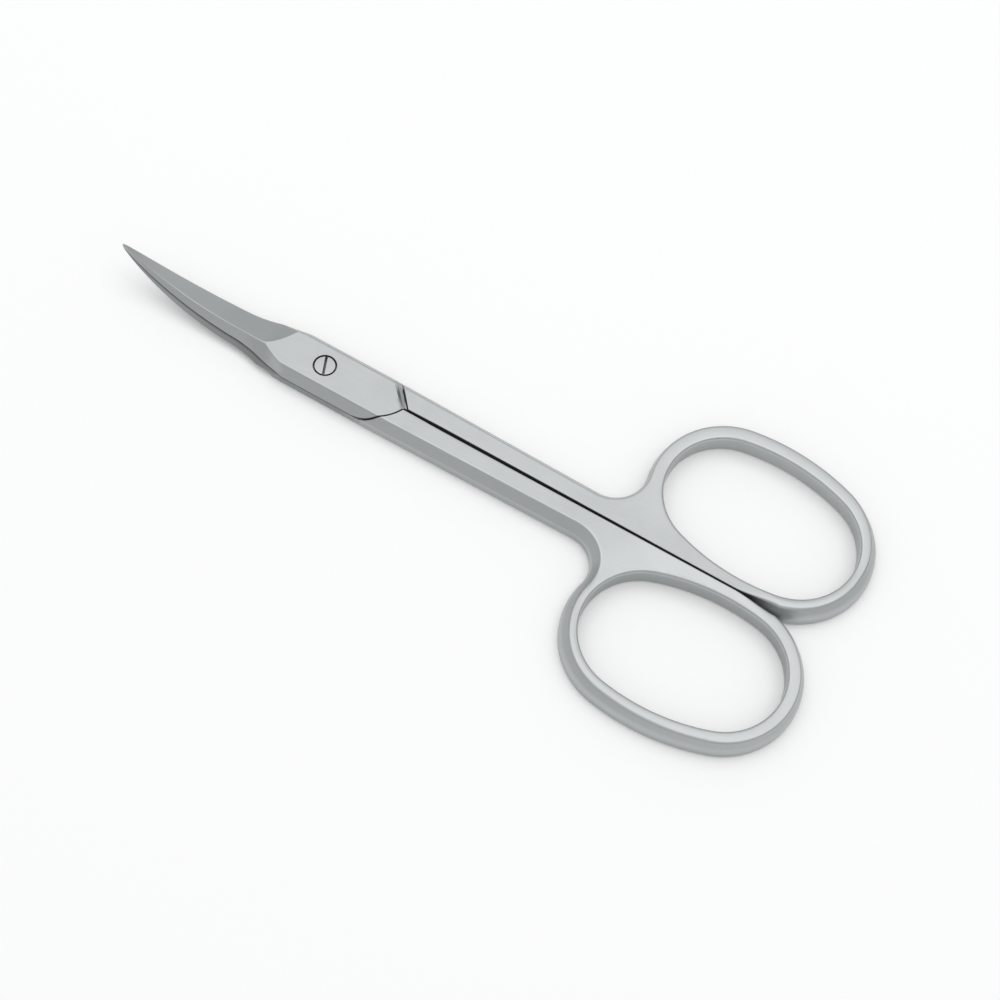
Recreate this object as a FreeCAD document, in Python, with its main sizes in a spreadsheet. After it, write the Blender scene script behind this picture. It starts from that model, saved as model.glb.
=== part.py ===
import FreeCAD, Part
import math
import os
import Sketcher
from FreeCAD import Placement, Rotation, Vector

os.makedirs("parts", exist_ok=True)
doc = FreeCAD.newDocument("cuticle_scissors")

# All sizes in millimetres and degrees. The pivot axis is the Z axis, the underside lies on z = 0,
# the tips point to -X, the finger rings to +X.
sheet = doc.addObject("Spreadsheet::Sheet", "Sizes")
given = [
    ("thickness", 2.6, "full height of plate, shanks and rings"),
    ("lap_gap", 0.12, "clearance between the two lapped halves"),
    ("slit_half", 0.12, "half the slit between the shanks"),
    ("stop_half", 0.04, "half the gap left where the closed rings meet"),
    ("plate_half", 3.25, "half width of the joint plate at mid height"),
    ("shank_half", 2.92, "width from centre line to outer side of a shank at its rear end"),
    ("shank_rear", 34.0, "where shank_half is measured"),
    ("side_bevel", 0.9, "inset of the upper edge of plate and shanks"),
    ("under_bevel", 0.12, "inset of the lower edge of the lower plate"),
    ("plate_front", 3.8, "where the plate starts to narrow into the blades"),
    ("shoulder_x", 5.44, "centre of the rounded shoulder along the scissors"),
    ("shoulder_y", 1.89, "centre of the rounded shoulder past the centre line"),
    ("shoulder_over", 0.03, "how far the plate's rear arc passes the side of the plate"),
    ("seam_gap", 0.1, "clearance between plate and the other half's shoulder"),
    ("plate_bite", 0.6, "how far the plate runs into its own shoulder"),
    ("plate_ease", 0.03, "how much narrower the plate is where it enters the shoulder"),
    ("ring_x", 50.2, "centre of the finger holes"),
    ("ring_tilt", -5.0, "lean of the finger holes"),
    ("ring_press", 0.015, "flat worn where the closed rings meet"),
    ("hole_long", 11.45, "half length of a finger hole"),
    ("hole_wide", 7.72, "half width of a finger hole"),
    ("side_crown", 0.57, "bulge of the hole's long sides over its end arcs"),
    ("band", 1.98, "width of the ring band"),
    ("band_inset", 0.3, "inset of the upper edge of the ring band"),
    ("crotch_radius", 3.75, "hollow between shank and ring"),
    ("edge_round", 0.38, "rounding along the top of the finger hole"),
    ("edge_chamfer", 0.25, "broken lower edge of the finger hole"),
    ("rim_round", 0.3, "rounding along the top of handle and ring"),
    ("rim_chamfer", 0.2, "broken lower edge of handle and ring"),
    ("blade_root", 7.1, "where the ground blade starts"),
    ("blade_reach", 26.7, "reach of the tips from the pivot"),
    ("flat_reach", 11.0, "radius up to which the lap stays flat"),
    ("bend_radius", 36.0, "upward curve of the blades"),
    ("blade_half", 1.75, "half width of the blades"),
    ("taper_power", 1.8, "how late the blades start to taper"),
    ("taper_full", 0.8, "how blunt the taper ends"),
    ("root_flare", 0.6, "extra half width at the blade root"),
    ("flare_share", 0.2, "share of the blade over which the root flare dies away"),
    ("tip_half", 0.1, "half width of the tips"),
    ("tip_thick", 0.24, "thickness of one tip"),
    ("edge_root", 0.38, "thickness of the cutting side at the root"),
    ("edge_tip", 0.12, "thickness of the cutting side at the tip"),
    ("ridge_power", 0.7, "how evenly the ridge comes down to the tip"),
    ("back_thick", 0.12, "thickness left along the back of a blade"),
    ("ridge_root", 1.1, "offset of the ridge at the blade root"),
    ("ridge_share", 0.58, "offset of the ridge as a share of the half width"),
    ("edge_lip", 0.62, "overhang of the lower cutting edge past the upper blade, at the root"),
    ("facet_share", 0.1, "where the plate's bevel dies on the facet, as a share of the facet"),
    ("cut_raise", 0.3, "start of the run-out over the plate's face, cutting side"),
    ("back_raise", 0.9, "start of the run-out over the plate's face, back side"),
    ("lap_stock", 0.8, "stock left on the lap before it is turned"),
    ("lap_turn", 120.0, "sector round the pivot over which the lap is turned"),
    ("head_half", 1.3, "radius of the screw head"),
    ("head_deep", 0.6, "height of the screw head"),
    ("head_clear", 0.09, "radial clearance round the screw head"),
    ("seat_clear", 0.05, "clearance under the screw head"),
    ("stem_half", 0.85, "radius of the screw stem"),
    ("stem_clear", 0.05, "radial running clearance in the upper half"),
    ("head_chamfer", 0.08, "broken edge of the screw head"),
    ("slot_wide", 0.24, "width of the screwdriver slot"),
    ("slot_deep", 0.3, "depth of the screwdriver slot"),
    ("slot_turn", 112.5, "turn of the screwdriver slot"),
    ("notch_lead", 0.34, "rear line of the top notch behind the tip of the shoulder"),
    ("notch_rake", 2.3, "how far the notch runs forward towards the side"),
    ("notch_run", 0.2, "how far the notch runs out past the side"),
    ("notch_over", 0.02, "how far the notch starts above the top"),
    ("notch_wide", 0.95, "width of the top notch"),
    ("notch_shallow", 0.16, "depth of the top notch at the centre line"),
    ("notch_deep", 0.6, "depth of the top notch at the side"),
]
shares = [0.0, 0.18, 0.42, 0.68, 0.88, 1.0]
formulas = [
    ("mid", "=thickness / 2"),
    ("hole_end", "=hole_wide - side_crown"),
    ("shoulder_radius", "=plate_half + shoulder_y + seam_gap + shoulder_over"),
    ("shoulder_tip", "=shoulder_x + sqrt(shoulder_radius ^ 2 - (shoulder_y + slit_half) ^ 2)"),
    ("notch_inner", "=shoulder_tip + notch_lead"),
    ("notch_outer", "=notch_inner - notch_rake"),
    ("ring_c", "=hole_long - hole_end"),
    ("ring_k", "=(ring_c ^ 2 - side_crown ^ 2) / (2 * side_crown)"),
    ("rear_x", "=ring_x + ring_c * cos(ring_tilt)"),
    ("rear_y", "=hole_end + band - band_inset + stop_half - ring_press"),
    ("ring_y", "=rear_y - ring_c * sin(ring_tilt)"),
    ("fore_x", "=ring_x - ring_c * cos(ring_tilt)"),
    ("fore_y", "=ring_y - ring_c * sin(ring_tilt)"),
    ("side_x", "=ring_x + ring_k * sin(ring_tilt)"),
    ("side_y", "=ring_y - ring_k * cos(ring_tilt)"),
]
for number, share in enumerate(shares):
    formulas.append((f"reach_{number}", f"=blade_root + (blade_reach - blade_root) * {share}"))
    arc = f"(max(0; reach_{number} - flat_reach)) ^ 2"
    formulas.append((f"rise_{number}", f"=mid + bend_radius - sqrt(bend_radius ^ 2 - {arc})"))
    taper = f"blade_half * (1 - {share} ^ taper_power) ^ taper_full"
    flare = f"root_flare * (max(0; 1 - {share} / flare_share)) ^ 2"
    formulas.append((f"half_{number}", f"=tip_half + {taper} + {flare}"))
    formulas.append((f"back_{number}", f"=tip_thick + (mid - tip_thick) * (1 - {share}) ^ ridge_power"))
    formulas.append((f"edge_{number}", f"=edge_root + (edge_tip - edge_root) * {share}"))
    formulas.append((f"ridge_{number}", f"=half_{number} * ridge_share" if number else "=ridge_root"))
    formulas.append((f"lip_{number}", f"=edge_lip * (1 - {share} ^ 3)"))
formulas.append(("lap_end", "=blade_reach + 2 * lap_stock"))
formulas.append(("lap_top", f"=rise_{len(shares) - 1} + 4 * lap_stock"))
for row, (alias, value, note) in enumerate(given, start=1):
    sheet.set(f"A{row}", note)
    sheet.set(f"B{row}", str(value))
    sheet.setAlias(f"B{row}", alias)
for row, (alias, text) in enumerate(formulas, start=len(given) + 1):
    sheet.set(f"A{row}", alias)
    sheet.setAlias(f"B{row}", alias)
    sheet.set(f"B{row}", text)
doc.recompute()


def size(alias):
    return float(sheet.get(alias))


def value(text):
    result = sheet.evalExpression(text)
    return float(getattr(result, "Value", result))


def plane(body, role):
    return [item for item in body.Origin.OriginFeatures if item.Role == role][0]


def new_sketch(body, name, role, offset):
    sketch = body.newObject("Sketcher::SketchObject", name)
    sketch.AttachmentSupport = (plane(body, role), [""])
    sketch.MapMode = "FlatFace"
    sketch.AttachmentOffset = offset
    sketch.Visibility = False
    return sketch


def drive(sketch, kind, *parts):
    text = parts[-1]
    index = sketch.addConstraint(Sketcher.Constraint(kind, *parts[:-1], value(text)))
    sketch.setExpression(f"Constraints[{index}]", text)


def polygon(body, name, role, offset, corners):
    sketch = new_sketch(body, name, role, offset)
    spots = [Vector(value(u), value(v), 0) for u, v in corners]
    count = len(spots)
    for index in range(count):
        sketch.addGeometry(Part.LineSegment(spots[index], spots[(index + 1) % count]))
    for index in range(count):
        sketch.addConstraint(Sketcher.Constraint("Coincident", index, 2, (index + 1) % count, 1))
    for index, (u, v) in enumerate(corners):
        drive(sketch, "DistanceX", -1, 1, index, 1, u)
        drive(sketch, "DistanceY", -1, 1, index, 1, v)
    return sketch


def section(body, name, station, corners):
    # A cross-section standing across the scissors at a distance in front of the pivot.
    sketch = polygon(body, name, "YZ_Plane", Placement(), corners)
    sketch.setExpression("AttachmentOffset.Base.z", station)
    return sketch


def loft(body, name, sketches, ruled):
    feature = body.newObject("PartDesign::AdditiveLoft", name)
    feature.Profile = sketches[0]
    feature.Sections = sketches[1:]
    feature.Ruled = ruled
    doc.recompute()
    return feature


def pocket(body, name, sketch, backwards):
    feature = body.newObject("PartDesign::Pocket", name)
    feature.Profile = sketch
    feature.Type = "ThroughAll"
    feature.Reversed = backwards
    doc.recompute()
    return feature


def oval(body, name, side):
    # Four arcs in the hole's own axes: two ends and two long sides, tangent all round.
    sketch = new_sketch(body, name, "XY_Plane", Placement())
    sketch.setExpression("AttachmentOffset.Base.x", "Sizes.ring_x")
    sketch.setExpression("AttachmentOffset.Base.y", f"{side} * Sizes.ring_y")
    sketch.AttachmentOffset = Placement(Vector(), Rotation(Vector(0, 0, 1), side * size("ring_tilt")))
    sketch.setExpression("AttachmentOffset.Rotation.Angle", f"{side} * Sizes.ring_tilt")
    c = size("ring_c")
    k = size("ring_k")
    end = size("hole_end")
    long = size("hole_wide") + k
    turn = math.atan2(k, c)
    up = Vector(0, 0, 1)
    right = Part.Circle(Vector(c, 0, 0), up, end)
    left = Part.Circle(Vector(-c, 0, 0), up, end)
    top = Part.Circle(Vector(0, -k, 0), up, long)
    bottom = Part.Circle(Vector(0, k, 0), up, long)
    sketch.addGeometry(Part.ArcOfCircle(right, -turn, turn))
    sketch.addGeometry(Part.ArcOfCircle(top, turn, math.pi - turn))
    sketch.addGeometry(Part.ArcOfCircle(left, math.pi - turn, math.pi + turn))
    sketch.addGeometry(Part.ArcOfCircle(bottom, math.pi + turn, 2 * math.pi - turn))
    for index in range(4):
        sketch.addConstraint(Sketcher.Constraint("Tangent", index, 2, (index + 1) % 4, 1))
    sketch.addConstraint(Sketcher.Constraint("PointOnObject", 0, 3, -1))
    sketch.addConstraint(Sketcher.Constraint("PointOnObject", 2, 3, -1))
    drive(sketch, "DistanceX", -1, 1, 0, 3, "Sizes.ring_c")
    drive(sketch, "DistanceX", 2, 3, -1, 1, "Sizes.ring_c")
    drive(sketch, "Radius", 0, "Sizes.hole_end")
    sketch.addConstraint(Sketcher.Constraint("Equal", 0, 2))
    drive(sketch, "DistanceY", 1, 3, -1, 1, "Sizes.ring_k")
    drive(sketch, "DistanceY", -1, 1, 3, 3, "Sizes.ring_k")
    return sketch


def handle_outline(body, name, side, height, shank_inset, ring_inset):
    # Outside of one shank and ring in plan: slit, rear end, long side, front end,
    # crotch, shank, shoulder.
    flip = Rotation(Vector(1, 0, 0), 0 if side > 0 else 180)
    sketch = new_sketch(body, name, "XY_Plane", Placement(Vector(), flip))
    sketch.setExpression("AttachmentOffset.Base.z", height)
    end_text = f"Sizes.hole_end + Sizes.band - {ring_inset}"
    hollow_text = f"Sizes.crotch_radius + {shank_inset} / 2"
    end = value(end_text)
    long = end + value("Sizes.hole_wide + Sizes.ring_k - Sizes.hole_end")
    hollow = value(hollow_text)
    round_half = size("shoulder_radius")
    inset = value(shank_inset)
    rear = Vector(size("rear_x"), size("rear_y"), 0)
    fore = Vector(size("fore_x"), size("fore_y"), 0)
    high = Vector(size("side_x"), size("side_y"), 0)
    nose = Vector(size("shoulder_x"), -size("shoulder_y"), 0)

    def on_arc(centre, radius, height_y):
        return Vector(centre.x + math.sqrt(radius ** 2 - (height_y - centre.y) ** 2), height_y, 0)

    def angle(spot, centre):
        return math.atan2(spot.y - centre.y, spot.x - centre.x)

    apex = on_arc(nose, round_half, size("slit_half"))
    corner = on_arc(nose, round_half, size("plate_half") - inset)
    leave = on_arc(rear, end, size("stop_half"))
    gauge = Vector(size("shank_rear"), size("shank_half") - inset, 0)
    along = (gauge - corner).normalize()
    across = Vector(-along.y, along.x, 0)
    base = corner + across * hollow - fore
    dot = base.dot(along)
    run = -dot - math.sqrt(dot ** 2 - base.dot(base) + (end + hollow) ** 2)
    foot = corner + along * run
    crotch = foot + across * hollow
    up = Vector(0, 0, 1)
    turn_a = angle(rear, high)
    turn_b = angle(fore, high)
    turn_c = angle(crotch, fore) % (2 * math.pi)
    turn_d = angle(foot, crotch)
    turn_e = angle(fore, crotch)
    sketch.addGeometry(Part.LineSegment(apex, leave))
    sketch.addGeometry(Part.ArcOfCircle(Part.Circle(rear, up, end), angle(leave, rear), turn_a))
    sketch.addGeometry(Part.ArcOfCircle(Part.Circle(high, up, long), turn_a, turn_b))
    sketch.addGeometry(Part.ArcOfCircle(Part.Circle(fore, up, end), turn_b, turn_c))
    sketch.addGeometry(Part.ArcOfCircle(Part.Circle(crotch, up, hollow), turn_d, turn_e))
    sketch.addGeometry(Part.LineSegment(foot, corner))
    shoulder = Part.Circle(nose, up, round_half)
    sketch.addGeometry(Part.ArcOfCircle(shoulder, angle(apex, nose), angle(corner, nose)))
    sketch.addGeometry(Part.Point(gauge), True)
    sketch.addConstraint(Sketcher.Constraint("Coincident", 0, 2, 1, 1))
    sketch.addConstraint(Sketcher.Constraint("Tangent", 1, 2, 2, 1))
    sketch.addConstraint(Sketcher.Constraint("Tangent", 2, 2, 3, 1))
    sketch.addConstraint(Sketcher.Constraint("Tangent", 3, 2, 4, 2))
    sketch.addConstraint(Sketcher.Constraint("Tangent", 4, 1, 5, 1))
    sketch.addConstraint(Sketcher.Constraint("Coincident", 5, 2, 6, 2))
    sketch.addConstraint(Sketcher.Constraint("Coincident", 6, 1, 0, 1))
    sketch.addConstraint(Sketcher.Constraint("PointOnObject", 7, 1, 5))
    drive(sketch, "DistanceY", -1, 1, 0, 1, "Sizes.slit_half")
    drive(sketch, "DistanceY", -1, 1, 0, 2, "Sizes.stop_half")
    drive(sketch, "DistanceX", -1, 1, 1, 3, "Sizes.rear_x")
    drive(sketch, "DistanceY", -1, 1, 1, 3, "Sizes.rear_y")
    drive(sketch, "Radius", 1, end_text)
    drive(sketch, "DistanceX", -1, 1, 2, 3, "Sizes.side_x")
    drive(sketch, "DistanceY", -1, 1, 2, 3, "Sizes.side_y")
    drive(sketch, "DistanceX", -1, 1, 3, 3, "Sizes.fore_x")
    drive(sketch, "DistanceY", -1, 1, 3, 3, "Sizes.fore_y")
    drive(sketch, "Radius", 4, hollow_text)
    drive(sketch, "DistanceY", -1, 1, 5, 2, f"Sizes.plate_half - {shank_inset}")
    drive(sketch, "DistanceX", -1, 1, 6, 3, "Sizes.shoulder_x")
    drive(sketch, "DistanceY", -1, 1, 6, 3, "-Sizes.shoulder_y")
    drive(sketch, "Radius", 6, "Sizes.shoulder_radius")
    drive(sketch, "DistanceX", -1, 1, 7, 1, "Sizes.shank_rear")
    drive(sketch, "DistanceY", -1, 1, 7, 1, f"Sizes.shank_half - {shank_inset}")
    return sketch


def blade_section(body, name, side, number):
    # Ground blade: cutting side, sloping facet up to the ridge, steep band down to the back.
    cut = f"Sizes.half_{number}" if side > 0 else f"(Sizes.half_{number} + Sizes.lip_{number})"
    spine = f"Sizes.half_{number}" if side > 0 else f"(Sizes.half_{number} - Sizes.lip_{number} / 4)"
    across = f"Sizes.facet_share * ({cut} + Sizes.ridge_{number})"
    up = f"Sizes.facet_share * (Sizes.back_{number} - Sizes.edge_{number})"
    corners = [
        (f"{-side} * {spine}", "-Sizes.lap_stock"),
        (f"{side} * {cut}", "-Sizes.lap_stock"),
        (f"{side} * {cut}", f"Sizes.edge_{number}"),
        (f"{side} * ({cut} - {across})", f"Sizes.edge_{number} + {up}"),
        (f"{-side} * Sizes.ridge_{number}", f"Sizes.back_{number}"),
        (f"{-side} * {spine}", "Sizes.back_thick"),
    ]
    placed = [(u, f"Sizes.rise_{number} + {side} * ({v})") for u, v in corners]
    return section(body, name, f"-Sizes.reach_{number}", placed)


def plate_section(body, name, side):
    # Front end of the plate, its bevels carried past the outer face, which is ground flat afterwards.
    bevel = "Sizes.side_bevel" if side > 0 else "Sizes.under_bevel"
    slope = f"{bevel} / (Sizes.mid - Sizes.lap_gap / 2)"
    flat = f"Sizes.plate_half - {bevel}"
    corners = [
        (f"{-side} * Sizes.plate_half", "-Sizes.lap_stock"),
        (f"{side} * Sizes.plate_half", "-Sizes.lap_stock"),
        (f"{side} * Sizes.plate_half", "Sizes.lap_gap / 2"),
        (f"{side} * ({flat} - Sizes.cut_raise * {slope})", "Sizes.mid + Sizes.cut_raise"),
        (f"{-side} * ({flat} - Sizes.back_raise * {slope})", "Sizes.mid + Sizes.back_raise"),
        (f"{-side} * Sizes.plate_half", "Sizes.lap_gap / 2"),
    ]
    placed = [(u, f"Sizes.mid + {side} * ({v})") for u, v in corners]
    return section(body, name, "-Sizes.plate_front", placed)


def lap_profile(body, name, side):
    # Half profile of the lap: flat round the pivot, then an arc, turned about the pivot axis.
    sketch = new_sketch(body, name, "XZ_Plane", Placement(Vector(), Rotation(Vector(0, 1, 0), 180)))
    flat = size("flat_reach")
    lap_text = f"Sizes.mid + {side} * Sizes.lap_gap / 2"
    bend_text = f"Sizes.bend_radius - {side} * Sizes.lap_gap / 2"
    far_text = "Sizes.mid - 2 * Sizes.lap_stock" if side > 0 else "Sizes.lap_top"
    lap = value(lap_text)
    bend = value(bend_text)
    far = value(far_text)
    reach = size("lap_end")
    sweep = math.asin((reach - flat) / bend)
    arc = Part.Circle(Vector(flat, lap + bend, 0), Vector(0, 0, 1), bend)
    stop = Vector(reach, lap + bend - bend * math.cos(sweep), 0)
    sketch.addGeometry(Part.LineSegment(Vector(0, far, 0), Vector(0, lap, 0)))
    sketch.addGeometry(Part.LineSegment(Vector(0, lap, 0), Vector(flat, lap, 0)))
    sketch.addGeometry(Part.ArcOfCircle(arc, -math.pi / 2, -math.pi / 2 + sweep))
    sketch.addGeometry(Part.LineSegment(stop, Vector(reach, far, 0)))
    sketch.addGeometry(Part.LineSegment(Vector(reach, far, 0), Vector(0, far, 0)))
    sketch.addConstraint(Sketcher.Constraint("Coincident", 0, 2, 1, 1))
    sketch.addConstraint(Sketcher.Constraint("Tangent", 1, 2, 2, 1))
    sketch.addConstraint(Sketcher.Constraint("Coincident", 2, 2, 3, 1))
    sketch.addConstraint(Sketcher.Constraint("Coincident", 3, 2, 4, 1))
    sketch.addConstraint(Sketcher.Constraint("Coincident", 4, 2, 0, 1))
    sketch.addConstraint(Sketcher.Constraint("PointOnObject", 0, 1, -2))
    sketch.addConstraint(Sketcher.Constraint("Vertical", 0))
    sketch.addConstraint(Sketcher.Constraint("Horizontal", 1))
    sketch.addConstraint(Sketcher.Constraint("Vertical", 3))
    sketch.addConstraint(Sketcher.Constraint("Horizontal", 4))
    drive(sketch, "DistanceY", -1, 1, 1, 1, lap_text)
    drive(sketch, "DistanceX", -1, 1, 1, 2, "Sizes.flat_reach")
    drive(sketch, "Radius", 2, bend_text)
    drive(sketch, "DistanceX", -1, 1, 3, 2, "Sizes.lap_end")
    drive(sketch, "DistanceY", -1, 1, 4, 2, far_text)
    return sketch


def plate_outline(body, name, side, height, inset):
    # Joint plate in plan: one side runs into its own shoulder, the other clears the other half's.
    flip = Rotation(Vector(1, 0, 0), 0 if side > 0 else 180)
    sketch = new_sketch(body, name, "XY_Plane", Placement(Vector(), flip))
    sketch.setExpression("AttachmentOffset.Base.z", height)
    half = size("plate_half") - value(inset)
    front = -size("plate_front")
    own = size("shoulder_radius") + size("plate_bite")
    other = size("shoulder_radius") - size("seam_gap")
    slit = size("slit_half")
    ease = size("plate_ease")
    own_nose = Vector(size("shoulder_x"), -size("shoulder_y"), 0)
    other_nose = Vector(size("shoulder_x"), size("shoulder_y"), 0)
    low = math.asin((half + other_nose.y) / other)
    high = math.asin((half - ease - own_nose.y) / own)
    fall = math.asin((slit + other_nose.y) / other)
    rise = math.asin((slit + ease - own_nose.y) / own)
    up = Vector(0, 0, 1)
    low_end = other_nose + Vector(math.cos(low), -math.sin(low), 0) * other
    other_tip = other_nose + Vector(math.cos(fall), -math.sin(fall), 0) * other
    own_tip = own_nose + Vector(math.cos(rise), math.sin(rise), 0) * own
    high_end = own_nose + Vector(math.cos(high), math.sin(high), 0) * own
    sketch.addGeometry(Part.LineSegment(Vector(front, -half, 0), low_end))
    sketch.addGeometry(Part.ArcOfCircle(Part.Circle(other_nose, up, other), -low, -fall))
    sketch.addGeometry(Part.LineSegment(other_tip, own_tip))
    sketch.addGeometry(Part.ArcOfCircle(Part.Circle(own_nose, up, own), rise, high))
    sketch.addGeometry(Part.LineSegment(high_end, Vector(front, half, 0)))
    sketch.addGeometry(Part.LineSegment(Vector(front, half, 0), Vector(front, -half, 0)))
    for index in range(6):
        sketch.addConstraint(Sketcher.Constraint("Coincident", index, 2, (index + 1) % 6, 1))
    sketch.addConstraint(Sketcher.Constraint("Horizontal", 0))
    drive(sketch, "DistanceY", -1, 1, 4, 1, f"Sizes.plate_half - {inset} - Sizes.plate_ease")
    drive(sketch, "DistanceX", 0, 1, -1, 1, "Sizes.plate_front")
    drive(sketch, "DistanceX", 4, 2, -1, 1, "Sizes.plate_front")
    drive(sketch, "DistanceY", 0, 1, -1, 1, f"Sizes.plate_half - {inset}")
    drive(sketch, "DistanceY", -1, 1, 4, 2, f"Sizes.plate_half - {inset}")
    drive(sketch, "DistanceY", 2, 1, -1, 1, "Sizes.slit_half")
    drive(sketch, "DistanceY", -1, 1, 2, 2, "Sizes.slit_half + Sizes.plate_ease")
    drive(sketch, "DistanceX", -1, 1, 1, 3, "Sizes.shoulder_x")
    drive(sketch, "DistanceY", -1, 1, 1, 3, "Sizes.shoulder_y")
    drive(sketch, "Radius", 1, "Sizes.shoulder_radius - Sizes.seam_gap")
    drive(sketch, "DistanceX", -1, 1, 3, 3, "Sizes.shoulder_x")
    drive(sketch, "DistanceY", 3, 3, -1, 1, "Sizes.shoulder_y")
    drive(sketch, "Radius", 3, "Sizes.shoulder_radius + Sizes.plate_bite")
    return sketch


def disc(body, name, height, radius):
    sketch = new_sketch(body, name, "XY_Plane", Placement())
    sketch.setExpression("AttachmentOffset.Base.z", height)
    sketch.addGeometry(Part.Circle(Vector(), Vector(0, 0, 1), value(radius)))
    sketch.addConstraint(Sketcher.Constraint("Coincident", 0, 3, -1, 1))
    drive(sketch, "Radius", 0, radius)
    return sketch


def notch(body, name):
    # Filed notch across the top of the upper half, deeper towards the outside.
    rows = []
    for label, across, rear, deep in (
        ("inner", "-Sizes.slit_half / 2", "Sizes.notch_inner", "Sizes.notch_shallow"),
        ("outer", "Sizes.plate_half + Sizes.notch_run", "Sizes.notch_outer", "Sizes.notch_deep"),
    ):
        corners = [
            (f"{rear} - Sizes.notch_wide", "Sizes.thickness + Sizes.notch_over"),
            (f"{rear} - Sizes.notch_wide / 4", f"Sizes.thickness - {deep}"),
            (rear, "Sizes.thickness + Sizes.notch_over"),
        ]
        sketch = polygon(body, f"{name}_{label}", "XZ_Plane", Placement(), corners)
        sketch.setExpression("AttachmentOffset.Base.z", f"-({across})")
        rows.append(sketch)
    cut = body.newObject("PartDesign::SubtractiveLoft", name)
    cut.Profile = rows[0]
    cut.Sections = rows[1:]
    cut.Ruled = True
    doc.recompute()


def on_circle(edge, height, radii):
    box = edge.BoundBox
    level = max(abs(box.ZMin - height), abs(box.ZMax - height)) < 1e-6
    if not level or not isinstance(edge.Curve, Part.Circle):
        return False
    return min(abs(edge.Curve.Radius - radius) for radius in radii) < 1e-4


def ease_edges(body, name, kind, amount, height, radii):
    # Eases the edges at one height on arcs of the given radii, and those that run on smoothly from them.
    base = body.Tip
    edges = enumerate(base.Shape.Edges, start=1)
    names = [f"Edge{number}" for number, edge in edges if on_circle(edge, height, radii)]
    eased = body.newObject(f"PartDesign::{kind}", name)
    eased.Base = (base, names)
    eased.setExpression("Radius" if kind == "Fillet" else "Size", amount)
    doc.recompute()


def build_half(name, side):
    body = doc.addObject("PartDesign::Body", name)
    flush = "0"
    # Shank and ring: straight walls up to mid height, bevelled above, soft edges.
    low = handle_outline(body, f"{name}_handle_low", side, flush, flush, flush)
    middle = handle_outline(body, f"{name}_handle_mid", side, "Sizes.mid", flush, flush)
    insets = ("Sizes.side_bevel", "Sizes.band_inset")
    top = handle_outline(body, f"{name}_handle_top", side, "Sizes.thickness", *insets)
    wall = body.newObject("PartDesign::Pad", f"{name}_handle_wall")
    wall.Profile = low
    wall.setExpression("Length", "Sizes.mid")
    wall.Reversed = side < 0
    doc.recompute()
    loft(body, f"{name}_handle_bevel", [middle, top], True)
    high = size("thickness")
    hole = [size("hole_end"), size("hole_wide") + size("ring_k")]
    rim = [radius + size("band") for radius in hole]
    crest = [radius - size("band_inset") for radius in rim]
    ease_edges(body, f"{name}_rim_top", "Fillet", "Sizes.rim_round", high, crest)
    ease_edges(body, f"{name}_rim_under", "Chamfer", "Sizes.rim_chamfer", 0, rim)
    pocket(body, f"{name}_finger_hole", oval(body, f"{name}_finger_hole_outline", side), True)
    ease_edges(body, f"{name}_hole_top", "Fillet", "Sizes.edge_round", high, hole)
    ease_edges(body, f"{name}_hole_under", "Chamfer", "Sizes.edge_chamfer", 0, hole)
    # Joint plate, half as thick, ending against its own shoulder.
    lap_level = f"Sizes.mid + {side} * Sizes.lap_gap / 2"
    face_level = "Sizes.thickness" if side > 0 else flush
    bevel = "Sizes.side_bevel" if side > 0 else "Sizes.under_bevel"
    inner = plate_outline(body, f"{name}_plate_lap", side, lap_level, flush)
    outer = plate_outline(body, f"{name}_plate_face", side, face_level, bevel)
    loft(body, f"{name}_plate", [inner, outer], True)
    # Ground blade.
    front = plate_section(body, f"{name}_plate_front", side)
    stations = [blade_section(body, f"{name}_blade_{n}", side, n) for n in range(len(shares))]
    loft(body, f"{name}_run_out", [front, stations[0]], True)
    loft(body, f"{name}_blade", stations, False)
    fence = [
        ("-Sizes.reach_1", "-2 * Sizes.plate_half"),
        ("-Sizes.plate_front", "-2 * Sizes.plate_half"),
        ("-Sizes.plate_front", "2 * Sizes.plate_half"),
        ("-Sizes.reach_1", "2 * Sizes.plate_half"),
    ]
    face = polygon(body, f"{name}_face_outline", "XY_Plane", Placement(), fence)
    face.setExpression("AttachmentOffset.Base.z", face_level)
    pocket(body, f"{name}_face", face, side > 0)
    # Lap surface of the blade, turned about the pivot so the halves slide past each other.
    lap = body.newObject("PartDesign::Groove", f"{name}_lap")
    profile = lap_profile(body, f"{name}_lap_profile", side)
    lap.Profile = profile
    lap.ReferenceAxis = (profile, ["V_Axis"])
    lap.setExpression("Angle", "Sizes.lap_turn")
    lap.Midplane = True
    body.Tip = lap
    doc.recompute()
    # Screw hole, with a seat for the head in the upper half only.
    bore = "Sizes.stem_half + Sizes.stem_clear" if side > 0 else "Sizes.stem_half"
    hole = disc(body, f"{name}_screw_hole_outline", "Sizes.thickness", bore)
    pocket(body, f"{name}_screw_hole", hole, False)
    if side > 0:
        seat = body.newObject("PartDesign::Pocket", f"{name}_seat")
        room = "Sizes.head_half + Sizes.head_clear"
        seat.Profile = disc(body, f"{name}_seat_outline", "Sizes.thickness", room)
        seat.setExpression("Length", "Sizes.head_deep + Sizes.seat_clear")
        doc.recompute()
        notch(body, f"{name}_notch")
    return body


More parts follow.
